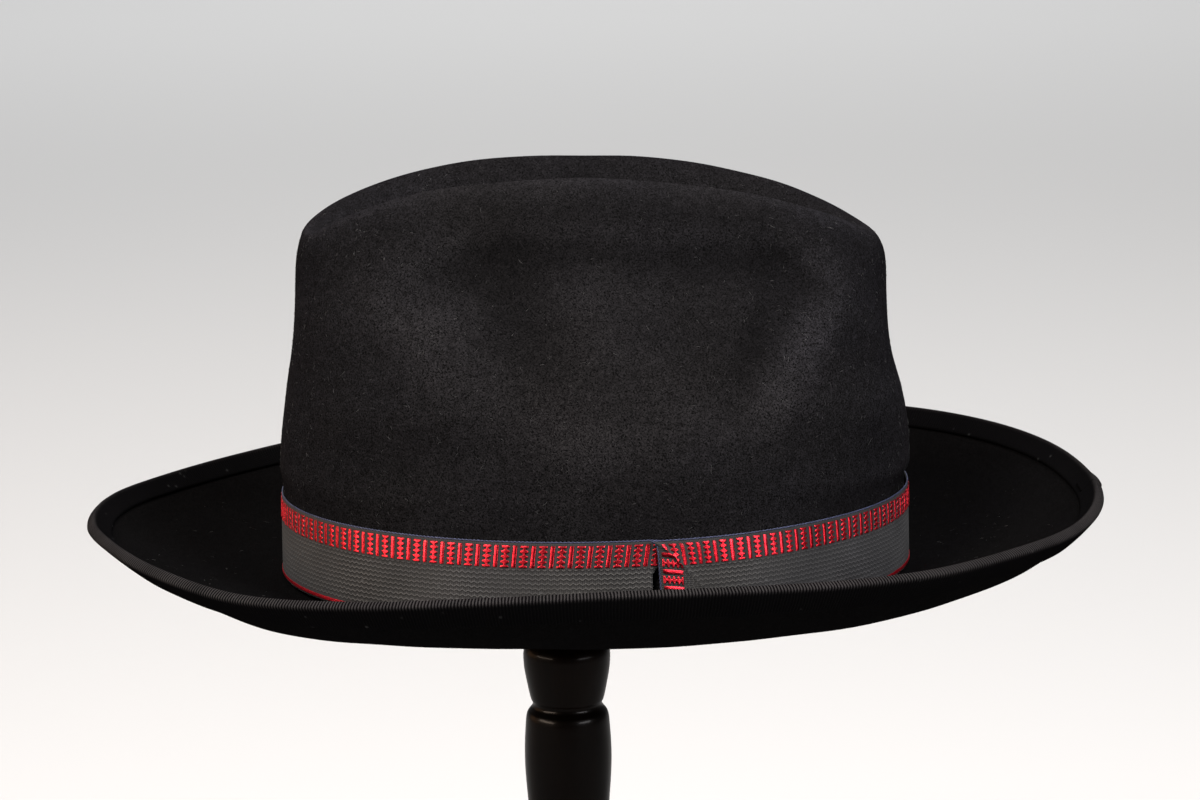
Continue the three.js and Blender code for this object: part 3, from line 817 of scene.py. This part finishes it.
ribbon_along = np.concatenate([
    np.arange(0, RIBBON_GRID["fine_to"], RIBBON_GRID["fine"]),
    np.linspace(
        RIBBON_GRID["fine_to"], ribbon_round + RIBBON["under"],
        int(ribbon_round / RIBBON_GRID["coarse"]),
    ),
])
ribbon_up = np.linspace(0, RIBBON["height"], RIBBON_GRID["rows"])
along_grid, up_grid = np.meshgrid(ribbon_along, ribbon_up)
under_start = ribbon_round - UNDER_END["starts"]
under_length = RIBBON["under"] + UNDER_END["starts"]
kept = smooth_step(up_grid, UNDER_END["low"], UNDER_END["high"])
shorter = (RIBBON["under"] - UNDER_END["short"]) * (1 - kept) / under_length
along_grid = along_grid - np.maximum(along_grid - under_start, 0) * shorter
edge = np.minimum(np.minimum(up_grid, RIBBON["height"] - up_grid), along_grid)
rounding = RIBBON_EDGE["round"] * np.clip(1 - edge / RIBBON_EDGE["width"], 0, 1) ** 2
face = strip_place(along_grid, up_grid, -rounding)
back = strip_place(along_grid, up_grid, -RIBBON["thickness"] + rounding)
points = np.concatenate([face.reshape(-1, 3), back.reshape(-1, 3)])
ribbon = make_piece("ribbon_woven", points, sheet_faces(along_grid.shape))
at = corner_numbers(ribbon) % along_grid.size
lay_flat(ribbon, along_grid.ravel()[at], up_grid.ravel()[at])

# Cross ribs of a corded ribbon, for a strip laid out in metres: their height, 0 to 1, from
# the length along the strip and the pitch of the ribs.
ribs, entry, leave = new_group(
    "Cross ribs",
    [("Along", "Float", 0.0), ("Pitch", "Float", 0.0006), ("Unevenness", "Float", 0.1)],
    [("Height", "Float")],
)
wander = times(ribs, noise(ribs, scale=260.0, Detail=2.0), entry.outputs["Unevenness"])
count = reckon(ribs, "DIVIDE", entry.outputs["Along"], entry.outputs["Pitch"])
wave = reckon(ribs, "SINE", times(ribs, plus(ribs, count, wander), 2 * math.pi))
ribs.links.new(reckon(ribs, "MULTIPLY_ADD", wave, 0.5, 0.5), leave.inputs["Height"])


def flat_place(tree):
    """The lengths along and across the flat strip at a place of a piece, in metres."""
    flat = add(tree, "UVMap", None, uv_map="Strip").outputs["UV"]
    split = add(tree, "SeparateXYZ", {"Vector": flat}).outputs
    return split["X"], split["Y"]


# Wavy lines are woven into the gray ground. They run from below the red stripe, measured from
# the upper edge, down to the hem, measured from the lower edge.
WAVE = {
    "pitch": 1.5, "length": 1.95, "height": 0.6, "wander": 0.4, "thin": 4.4, "below": -0.24,
    "hem": 2.6, "red": 8.7,
}
FINE_RIBS = {"Pitch": 0.00065, "Unevenness": 1.6}
SELVEDGE = {"from": 1.2, "to": 1.8, "shade": 0.6}
FINE_RIB_HEIGHT = 0.25
GRAY_SHARE = {"ground": 0.23, "ribs": 0.2, "crest": 0.8, "painted_shadow_line": -0.30, "least_tone": 0.5}
RIBBON_LINT = {
    "shade": (0.2, 0.2, 0.2, 1), "strength": 0.3, "scale": 420.0, "share": 0.04, "size": 0.3,
}
RIBBON_DARK = (0.013, 0.013, 0.014, 1)
RIBBON_LIGHT = (0.098, 0.097, 0.103, 1)
RIBBON_WARM = (0.104, 0.098, 0.090, 1)
weave, tree, shader = new_material(
    "Gray woven ribbon",
    Specular_IOR_Level=0.12,
    Sheen_Weight=0.03,
    Sheen_Roughness=0.4,
)
along, across = flat_place(tree)
from_top = reckon(tree, "SUBTRACT", RIBBON["height"] * MM, across)
thread_run = reckon(tree, "MAXIMUM", along, from_top)
thread_edge = reckon(tree, "MINIMUM", along, from_top)
ripple = reckon(tree, "PINGPONG", thread_run, WAVE["length"] / 2 * MM)
ripple = times(tree, ripple, WAVE["height"] / (WAVE["length"] / 2))
level = reckon(tree, "DIVIDE", plus(tree, thread_edge, ripple), WAVE["pitch"] * MM)
level = reckon(tree, "MULTIPLY_ADD", noise(tree, scale=320.0, Detail=1.0), WAVE["wander"], level)
above_hem = reckon(tree, "LESS_THAN", thread_edge, (RIBBON["height"] - WAVE["hem"]) * MM)
below_red = reckon(tree, "GREATER_THAN", thread_edge, WAVE["red"] * MM)
patchy = uneven(tree, scale=24.0, contrast=2.4)
patchy = add(tree, "Clamp", {"Value": patchy, "Min": 0.35, "Max": 1.0}).outputs["Result"]
lines = []
# Each wave thread is painted paler along its crest as a painted highlight, with a painted shadow line
# just below it.
for offset in (0.0, WAVE["below"]):
    wave = reckon(tree, "SINE", times(tree, plus(tree, level, offset), 2 * math.pi))
    thin = reckon(tree, "POWER", reckon(tree, "MULTIPLY_ADD", wave, 0.5, 0.5), WAVE["thin"])
    lines.append(times(tree, thin, above_hem, below_red, patchy))
crest, painted_shadow_line = lines
fine = use_group(tree, ribs, Along=thread_run, **FINE_RIBS).outputs["Height"]
selvedge = map_range(
    tree, thread_edge, SELVEDGE["shade"], 1.0, SELVEDGE["from"] * MM, SELVEDGE["to"] * MM,
)
# The fine ribs are painted lighter on their crests than in their hollows, as painted highlight and
# shade.
share = reckon(tree, "MULTIPLY_ADD", fine, GRAY_SHARE["ribs"], GRAY_SHARE["ground"])
share = reckon(tree, "MULTIPLY_ADD", crest, GRAY_SHARE["crest"], share)
share = reckon(tree, "MULTIPLY_ADD", painted_shadow_line, GRAY_SHARE["painted_shadow_line"], share)
tone = plus(tree, uneven(tree, scale=60.0, contrast=1.2), GRAY_SHARE["least_tone"])
share = times(tree, share, tone, selvedge)
ground = blend_colours(tree, uneven(tree, scale=13.0, contrast=2.4), RIBBON_LIGHT, RIBBON_WARM)
colour = blend_colours(tree, share, RIBBON_DARK, ground)
colour = dusted(tree, colour, **RIBBON_LINT)
height = reckon(tree, "MULTIPLY_ADD", fine, FINE_RIB_HEIGHT, crest)
set_surface(
    tree, shader, colour, shine=crest, rough=(0.72, 0.5), height=height, strength=0.6, depth=0.0003,
)
ribbon.data.materials.append(weave)
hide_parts("hat_ribbon", "ribbon_overlap")

# The ribbon's red stripe: silky threads floated over the gray ground in a traditional woven
# border of plain bars and toothed columns, with a thin red line near the lower edge. It turns
# the corner with the ribbon, meeting along the slanted crease.
BORDER = {"low": 18.85, "high": 25.85, "repeat": 5.9, "first_bar": 2.9, "last_bar": 0.8}
BORDER_DOWN = {"first_bar": 4.8, "repeat": 5.3, "bars": 4}
BAR = {"half": 0.66, "proud": 0.24, "rows": 9}
TOOTH = {"pitch": 1.62, "end": 0.56, "serif": 1.3, "proud": 0.26, "rows": 64}
TOOTH_STEPS = [(0.15, 1.36), (0.27, 0.9), (0.5, 0.38)]
SLANT = {"before": 0.16, "after": -0.14, "fade": 120.0}
THREAD_END = {"soft": 0.2, "least": 0.15}
THREAD_LIFT = 0.02
ACROSS = np.array([-1.0, -0.9, -0.62, -0.34, -0.15, 0.0, 0.15, 0.34, 0.62, 0.9, 1.0])
THREAD_BODY = np.array([0.2, 0.8, 0.93, 0.98, 1.0, 1.0, 1.0, 0.98, 0.93, 0.8, 0.2])
# Painted light across a bar: a painted highlight on its left strand, and painted shade in the groove
# between its strands and at its edges.
BAR_PAINTED_LIGHT = np.array([0.1, 0.85, 1.0, 1.0, 1.0, 0.8, 0.1, 0.0, 0.1, 0.5, 0.0])
# Painted light across a toothed column: painted darker all over than a bar, and darkest at its edges as
# painted shade.
COLUMN_PAINTED_LIGHT = np.array([0.02, 0.28, 0.36, 0.36, 0.36, 0.36, 0.36, 0.36, 0.36, 0.28, 0.02])
border_tall = BORDER["high"] - BORDER["low"]


def tooth_half(up):
    """Half the width of a toothed column, from its lower end (0) to its upper end."""
    from_end = np.minimum(up, border_tall - up)
    wave = (up - border_tall / 2) / TOOTH["pitch"]
    wave = np.abs(wave - np.round(wave))
    body = np.select([wave <= reach for reach, _ in TOOTH_STEPS], [half for _, half in TOOTH_STEPS])
    return np.where(from_end < TOOTH["end"], TOOTH["serif"], body)


def slant_at(along):
    """How far the weave leans: the ribbon was pulled up tight towards its join."""
    fade = np.clip(1 - along / SLANT["fade"], 0, 1)
    fade_before = np.clip(1 - (ribbon_round - along) / SLANT["fade"], 0, 1)
    return SLANT["after"] * fade + SLANT["before"] * fade_before


bar_up = np.linspace(0, border_tall, BAR["rows"])
tooth_up = np.linspace(0, border_tall, TOOTH["rows"])
red_parts = []


def float_threads(centre, up, half, proud, tone, downward):
    """One bar or toothed column, cut off at the slanted crease."""
    lean = slant_at(centre) * (up - border_tall / 2)
    along = centre + lean[:, None] + ACROSS * half[:, None]
    level = np.broadcast_to(BORDER["low"] + up[:, None], along.shape)
    end_round = np.minimum(up, border_tall - up)[:, None] / THREAD_END["soft"]
    end_round = np.clip(end_round, THREAD_END["least"], 1)
    lift = THREAD_LIFT + proud * THREAD_BODY * end_round
    limit = RIBBON["height"] - level
    inside = along > limit
    along = np.maximum(along, limit)
    keep = inside[:-1, :-1] | inside[:-1, 1:] | inside[1:, 1:] | inside[1:, :-1]
    if not keep.any():
        return
    where = (limit, RIBBON["height"] - along) if downward else (along, level)
    quads = patch_faces(np.arange(along.size).reshape(along.shape))[keep.ravel()]
    quads = quads[:, ::-1] if downward else quads
    # The thread's painted light (tone) is also darkened towards its two ends, as painted shade.
    red_parts.append((strip_place(*where, lift).reshape(-1, 3), quads, (tone * end_round).ravel()))


border_run = ribbon_round - BORDER["last_bar"] - BORDER["first_bar"]
periods = round(border_run / BORDER["repeat"])
bar_half = np.full(len(bar_up), BAR["half"])
for first_bar, repeat, bars, downward in (
    (BORDER["first_bar"], border_run / periods, periods + 1, False),
    (BORDER_DOWN["first_bar"], BORDER_DOWN["repeat"], BORDER_DOWN["bars"], True),
):
    for bar in range(bars):
        bar_at = first_bar + bar * repeat
        tooth_at = bar_at + repeat / 2
        float_threads(bar_at, bar_up, bar_half, BAR["proud"], BAR_PAINTED_LIGHT, downward)
        float_threads(
            tooth_at, tooth_up, tooth_half(tooth_up), TOOTH["proud"], COLUMN_PAINTED_LIGHT, downward,
        )

RED_LINE = {"up": 1.35, "half": 0.58, "proud": 0.16, "from": 25.5, "short": 0.5, "step": 1.0}
line_along = np.arange(RED_LINE["from"], ribbon_round - RED_LINE["short"], RED_LINE["step"])
line_across = RED_LINE["up"] + ACROSS[:, None] * RED_LINE["half"]
line_lift = THREAD_LIFT + RED_LINE["proud"] * THREAD_BODY[:, None]
line_points = strip_place(line_along, line_across, line_lift).reshape(-1, 3)
quads = patch_faces(np.arange(len(line_points)).reshape(len(ACROSS), -1))
# The thin red line is painted darker towards its edges, as painted shade.
red_parts.append((line_points, quads, np.repeat(THREAD_BODY, len(line_along))))
points, faces, thread_painted_light = zip(*red_parts)
starts = np.cumsum([0] + [len(part) for part in points])
faces = np.concatenate([part + start for part, start in zip(faces, starts)])
red = make_piece("ribbon_red_threads", np.concatenate(points), faces)
store(red, "ThreadPaintedLight", np.sqrt(np.concatenate(thread_painted_light)))

RED_DARK = (0.50, 0.005, 0.016, 1)
RED_LIGHT = (1.00, 0.038, 0.062, 1)
RED_PAINTED_SHADE = (0.06, 0.000, 0.002, 1)
RED_LEAST_TONE = 0.55
STRAND_STRETCH = (0.3, 0.3, 1)
silk, tree, shader = new_material(
    "Red silk threads",
    Metallic=0.8,
    Specular_IOR_Level=0.4,
    Specular_Tint=(1.0, 0.6, 0.6, 1),
    Anisotropic=0.9,
    Anisotropic_Rotation=0.25,
    Coat_Weight=0.12,
    Coat_Roughness=0.3,
)
strands = noise(tree, 2400.0, stretched(tree, STRAND_STRETCH), Detail=2.0, Roughness=0.6)
share = times(tree, strands, plus(tree, uneven(tree, scale=34.0, contrast=2.4), RED_LEAST_TONE))
share = map_range(tree, share, 0.0, 1.0, start=0.25, end=0.8)
colour = blend_colours(tree, share, RED_DARK, RED_LIGHT)
# Painted shade: where the stored painted light is low, the red goes towards a near black.
colour = blend_colours(tree, stored(tree, "ThreadPaintedLight"), RED_PAINTED_SHADE, colour)
set_surface(
    tree, shader, colour, shine=strands, rough=(0.3, 0.5), height=strands, strength=0.45, depth=0.0003,
)
red.data.materials.append(silk)

# The ribbon's upper selvedge: a fine two-ply cord of blue thread woven into the edge. At the
# join it turns the corner and runs down the folded end.
CORD = {
    "radius": 0.26, "ply": 0.09, "twist": 1.3, "flat": 0.8, "inset": 0.14, "proud": -0.2,
    "from": 0.6, "past": 4, "step": 0.16, "sides": 8,
}


def corded_edge(along, up, twist_at):
    """Rings of a twisted cord lying on the ribbon through places given along and up it."""
    line = strip_place(along, up, CORD["proud"])
    outward = wall_place(strip_angle(drawn_in(along, up)), RIBBON["bottom"] + up)[1]
    side = unit(np.cross(unit(np.gradient(line, axis=0)), outward))
    swing = np.linspace(0, 2 * np.pi, CORD["sides"], endpoint=False)
    crest = np.cos(2 * swing - 2 * np.pi * twist_at[:, None] / CORD["twist"])
    radius = CORD["radius"] + CORD["ply"] * crest
    ring = outward[:, None, :] * (radius * np.cos(swing))[..., None] * CORD["flat"]
    ring = ring + side[:, None, :] * (radius * np.sin(swing))[..., None]
    return line[:, None, :] + ring, crest


down_run = np.arange(CORD["from"], RIBBON["height"] - CORD["inset"], CORD["step"])
edge_run = np.arange(CORD["inset"], ribbon_round + CORD["past"], CORD["step"])
cord_along = np.concatenate([np.full(len(down_run), CORD["inset"]), edge_run])
cord_up = np.concatenate([down_run, np.full(len(edge_run), RIBBON["height"] - CORD["inset"])])
cord_run = np.concatenate([down_run, down_run[-1] + edge_run])
rings, ply_crest = corded_edge(cord_along, cord_up, cord_run)
numbers = np.arange(ply_crest.size).reshape(ply_crest.shape)
ends = [numbers[0].tolist(), numbers[-1, ::-1].tolist()]
faces = grid_faces(len(rings), CORD["sides"], False)[:, ::-1]
cord = make_piece("ribbon_blue_edge", rings.reshape(-1, 3), faces, ends)
# Painted light on the cord: lighter on the crests of its plies, with painted shade between them.
store(cord, "PlyPaintedLight", 0.5 + 0.5 * ply_crest)

BLUE_DARK = (0.006, 0.007, 0.022, 1)
BLUE_LIGHT = (0.095, 0.110, 0.205, 1)
BLUE_LEAST = 0.35
blue, tree, shader = new_material("Blue cord thread", Specular_IOR_Level=0.2)
strands = noise(tree, scale=1300.0, Detail=3.0, Roughness=0.7)
share = plus(tree, map_range(tree, strands, 0.0, 1.0, start=0.42, end=0.74), BLUE_LEAST)
# The cord's colour takes that painted light and shade.
share = times(tree, stored(tree, "PlyPaintedLight"), share)
colour = blend_colours(tree, share, BLUE_DARK, BLUE_LIGHT)
set_surface(
    tree, shader, colour, shine=strands, rough=(0.5, 0.75), height=strands, strength=0.5, depth=0.0002,
)
cord.data.materials.append(blue)

# The brim's binding: a narrow cross-ribbed ribbon folded over the felt's edge and sewn
# through. It lies on both faces of the brim and its two ends meet near the back.
BINDING = {
    "thickness": 0.6, "gap": 0.25, "inner": 0.872, "under": 0.85, "near_edge": 0.98,
    "thinned": 0.35, "thin_width": 0.012, "square": 0.72,
}
BINDING_GRID = {"sides": 900, "rows": 12, "rows_behind": 5}
BINDING_DARK = (0.0022, 0.0021, 0.0023, 1)
BINDING_LIGHT = (0.035, 0.0318, 0.0318, 1)
BINDING_LINT = {
    "shade": (0.08, 0.08, 0.08, 1), "strength": 0.3, "scale": 420.0, "share": 0.05, "size": 0.3,
}
# Painted highlight on the ribs round the folded edge, fading to painted shade on both faces with
# distance from the edge.
BINDING_EDGE_PAINTED_LIGHT = {"full": 0.9, "none": 3.2, "least": 0.04}
RIB = {"pitch": 1.0, "unevenness": 0.55, "narrow": 1.7, "least_tone": 0.6}
WRAP_ROWS = 7
WRAP_TURNS = np.linspace(-math.pi / 2, math.pi / 2, WRAP_ROWS + 2)[1:-1]

around = np.linspace(0, 2 * np.pi, BINDING_GRID["sides"], endpoint=False)
near_skin = BINDING["gap"]
far_skin = BINDING["gap"] + BINDING["thickness"]


def over_brim(turns, reach, height, beyond):
    """Points at those angles: over the felt by height, and past its edge by beyond."""
    reach = np.full(len(turns), float(reach))
    up = skin_normal(brim_point, turns, reach) * np.reshape(height, (-1, 1))
    outward = unit(brim_point(turns, 1.0) - brim_point(turns, BINDING["near_edge"]))
    return brim_point(turns, reach) + up + outward * np.reshape(beyond, (-1, 1))


def thinned(reach, start):
    """How much thinner the binding is close to one of its long edges."""
    return BINDING["thinned"] * np.clip(1 - (reach - start) / BINDING["thin_width"], 0, 1) ** 2


def wrapped(turn, skin):
    """Height and reach of the fold round the felt's edge, a little squarer than a circle."""
    up = (FELT / 2 + skin) * power(math.sin(turn), BINDING["square"])
    return up - FELT / 2, skin * power(math.cos(turn), BINDING["square"])


section = []
for reach in np.linspace(BINDING["under"], 1, BINDING_GRID["rows"]):
    section.append((reach, -FELT - far_skin + thinned(reach, BINDING["under"]), 0.0))
for turn in WRAP_TURNS:
    section.append((1.0, *wrapped(turn, far_skin)))
for reach in np.linspace(1, BINDING["inner"], BINDING_GRID["rows"]):
    section.append((reach, far_skin - thinned(reach, BINDING["inner"]), 0.0))
for reach in np.linspace(BINDING["inner"], 1, BINDING_GRID["rows_behind"]):
    section.append((reach, near_skin, 0.0 if reach < 1 else near_skin))
for reach in np.linspace(1, BINDING["under"], BINDING_GRID["rows_behind"]):
    section.append((reach, -FELT - near_skin, 0.0 if reach < 1 else near_skin))
rows = np.stack([over_brim(around, *row) for row in section])
faces = grid_faces(len(rows), BINDING_GRID["sides"], True)[:, ::-1]
binding = make_piece("brim_binding_ribbed", (rows + HAT_CENTRE).reshape(-1, 3), faces)

edge_line = over_brim(around, 1.0, -FELT / 2, far_skin)
edge_along = lengths_along(np.concatenate([edge_line, edge_line[:1]]))
row_across = lengths_along(rows[:, 0])
row_across -= row_across[BINDING_GRID["rows"] + WRAP_ROWS // 2]
corner_row, corner_side = np.divmod(corner_numbers(binding), BINDING_GRID["sides"])
wraps = np.repeat(np.ptp(corner_side.reshape(-1, 4), axis=1) > 1, 4)
corner_along = np.where(wraps & (corner_side == 0), edge_along[-1], edge_along[corner_side])
lay_flat(binding, corner_along, row_across[corner_row])

corded, tree, shader = new_material("Black ribbed binding", Specular_IOR_Level=0.0)
along, across = flat_place(tree)
rib = use_group(tree, ribs, Along=along, Pitch=RIB["pitch"] * MM, Unevenness=RIB["unevenness"])
rib = rib.outputs["Height"]
# Painted highlight on the ribs near the folded edge, fading to painted shade on the faces.
edge_painted_light = map_range(
    tree, reckon(tree, "ABSOLUTE", across), 1.0, BINDING_EDGE_PAINTED_LIGHT["least"],
    BINDING_EDGE_PAINTED_LIGHT["full"] * MM, BINDING_EDGE_PAINTED_LIGHT["none"] * MM, interpolation_type="SMOOTHSTEP",
)
tone = plus(tree, uneven(tree, scale=70.0, contrast=1.6), RIB["least_tone"])
# The rib crests are painted lighter than the hollows between them, as painted highlight and shade.
share = times(tree, reckon(tree, "POWER", rib, RIB["narrow"]), tone, edge_painted_light)
colour = blend_colours(tree, share, BINDING_DARK, BINDING_LIGHT)
colour = dusted(tree, colour, **BINDING_LINT)
set_surface(
    tree, shader, colour, shine=rib, rough=(0.85, 0.6), height=rib, strength=0.75, depth=0.0002,
)
binding.data.materials.append(corded)
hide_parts("brim_binding")

# The binding's end: its last few millimetres, turned under and sewn down over its start at
# the back of the brim, so that the edge is a little thicker there.
SEAM = {
    "from": 2.6, "to": 6.4, "proud": 0.5, "sunk": 0.1, "inner": 0.905, "side_drop": 0.75,
    "columns": 21, "rows": 8,
}
seam_turns = np.radians(np.linspace(SEAM["from"], SEAM["to"], SEAM["columns"]))
side_soft = 1 - SEAM["side_drop"] * np.abs(np.linspace(-1, 1, SEAM["columns"])) ** 6
stations = [(reach, -math.pi / 2) for reach in np.linspace(SEAM["inner"], 1, SEAM["rows"])]
stations += [(1.0, turn) for turn in WRAP_TURNS]
stations += [(reach, math.pi / 2) for reach in np.linspace(1, SEAM["inner"], SEAM["rows"])]
faces_of_seam = []
for skin in (far_skin + SEAM["proud"] * side_soft, far_skin - SEAM["sunk"]):
    rows = [over_brim(seam_turns, reach, *wrapped(turn, skin)) for reach, turn in stations]
    faces_of_seam.append(np.stack(rows))
outer = faces_of_seam[0]
points = np.concatenate(faces_of_seam).reshape(-1, 3) + HAT_CENTRE
seam = make_piece("binding_sewn_end", points, sheet_faces(outer.shape[:2])[:, ::-1])

seam_along = np.linspace(0, 1, SEAM["columns"]) * np.linalg.norm(outer[0, -1] - outer[0, 0])
seam_across = lengths_along(outer[:, 0])
seam_across -= seam_across[len(stations) // 2]
corner_row, corner_side = np.divmod(corner_numbers(seam), SEAM["columns"])
lay_flat(seam, seam_along[corner_side], seam_across[corner_row % len(stations)])
seam.data.materials.append(corded)

# The set: a wide plain pale floor and soft studio light. The camera stands on the wearer's
# left, a little above the brim, as in the photograph.
FLOOR_HALF = 9.0
PALE = (0.50, 0.495, 0.49, 1)
paper, tree, shader = new_material("Pale backdrop", Roughness=0.9, Specular_IOR_Level=0.1)
shader.inputs["Base Color"].default_value = PALE

mesh = bpy.data.meshes.new("floor")
floor_corners = [(x * FLOOR_HALF, y * FLOOR_HALF, 0) for x, y in ((-1, -1), (1, -1), (1, 1), (-1, 1))]
mesh.from_pydata(floor_corners, [], [(0, 1, 2, 3)])
mesh.materials.append(paper)
floor = new_object("floor", mesh)

CAMERA = {"azimuth": 84.0, "elevation": 11.5, "distance": 1.2, "roll": 0.75, "lens": 109.1}
AIM = {"right": 1.3, "height": 251.3}


def facing(azimuth, elevation, distance, target, roll=0.0):
    """A place round the target that looks at it: azimuth from the front towards the wearer's left."""
    swing, climb, roll = np.radians([azimuth, elevation, roll])
    forward = -math.cos(swing) * math.cos(climb)
    away = np.array([math.sin(swing) * math.cos(climb), forward, math.sin(climb)])
    level = np.array([math.cos(swing), math.sin(swing), 0.0])
    upward = np.cross(away, level)
    right = level * math.cos(roll) - upward * math.sin(roll)
    above = upward * math.cos(roll) + level * math.sin(roll)
    axes = np.stack([right, above, away, target + away * distance], axis=1)
    return Matrix([*axes.tolist(), (0, 0, 0, 1)])


aside = math.radians(CAMERA["azimuth"])
aim = np.array([math.cos(aside), math.sin(aside), 0.0]) * AIM["right"] * MM
aim += np.array([0.0, HAT_BEHIND_STAND, AIM["height"]]) * MM
camera_data = bpy.data.cameras.new("photo_camera")
camera_data.lens = CAMERA["lens"]
camera_data.sensor_width = 36.0
camera_data.clip_end = 100.0
camera = new_object("photo_camera", camera_data)
camera.matrix_world = facing(
    CAMERA["azimuth"], CAMERA["elevation"], CAMERA["distance"], aim, CAMERA["roll"],
)
bpy.context.scene.camera = camera

LIGHTS = [
    # name, azimuth, elevation, distance, aim, size, watts, colour, spread, lights matt surfaces
    ("left_softbox", 43, 52, 2.3, (0.0, 0.0, 0.26), (0.7, 0.8), 23.0, (1.0, 0.94, 0.875), 110, True),
    ("right_softbox", 133, 50, 2.3, (0.0, 0.0, 0.26), (0.7, 0.8), 20.5, (0.985, 0.975, 1.0), 110, True),
    ("overhead", 84, 80, 2.1, (0.0, 0.0, 0.26), (0.9, 0.9), 2.0, (1.0, 1.0, 1.0), 110, True),
    ("left_strip", 21, 16, 2.0, (0.0, 0.0, 0.2), (1.65, 0.35), 30.0, (1.0, 0.80, 0.64), 110, False),
    ("warm_side_fill", -22, 5, 2.2, (0.0, 0.0, 0.2), (1.6, 0.7), 4.5, (1.0, 0.52, 0.24), 130, True),
    ("right_strip", 134, 16, 2.0, (0.0, 0.0, 0.2), (1.2, 0.35), 16.0, (1.0, 0.98, 1.0), 110, False),
    ("rear_softbox", 262, 50, 2.4, (0.0, 0.0, 0.2), (1.4, 1.4), 5.0, (0.98, 0.99, 1.0), 120, True),
    ("floor_light", 264, 48, 6.0, (-3.2, 0.3, 0.0), (5.0, 3.0), 105.0, (0.98, 0.99, 1.0), 70, True),
]
for name, azimuth, elevation, distance, target, size, watts, colour, spread, matt in LIGHTS:
    light = bpy.data.lights.new(name, "AREA")
    light.shape = "RECTANGLE"
    light.size, light.size_y = size
    light.energy = watts
    light.color = colour
    light.spread = math.radians(spread)
    lamp = new_object(name, light)
    lamp.visible_diffuse = matt
    lamp.matrix_world = facing(azimuth, elevation, distance, np.array(target))

WORLD = {"colour": (0.93, 0.94, 0.96, 1), "strength": 0.2}
world = bpy.data.worlds.new("studio")
world.use_nodes = True
background = world.node_tree.nodes["Background"]
background.inputs["Color"].default_value = WORLD["colour"]
background.inputs["Strength"].default_value = WORLD["strength"]
bpy.context.scene.world = world
bpy.context.scene.view_settings.view_transform = "Standard"
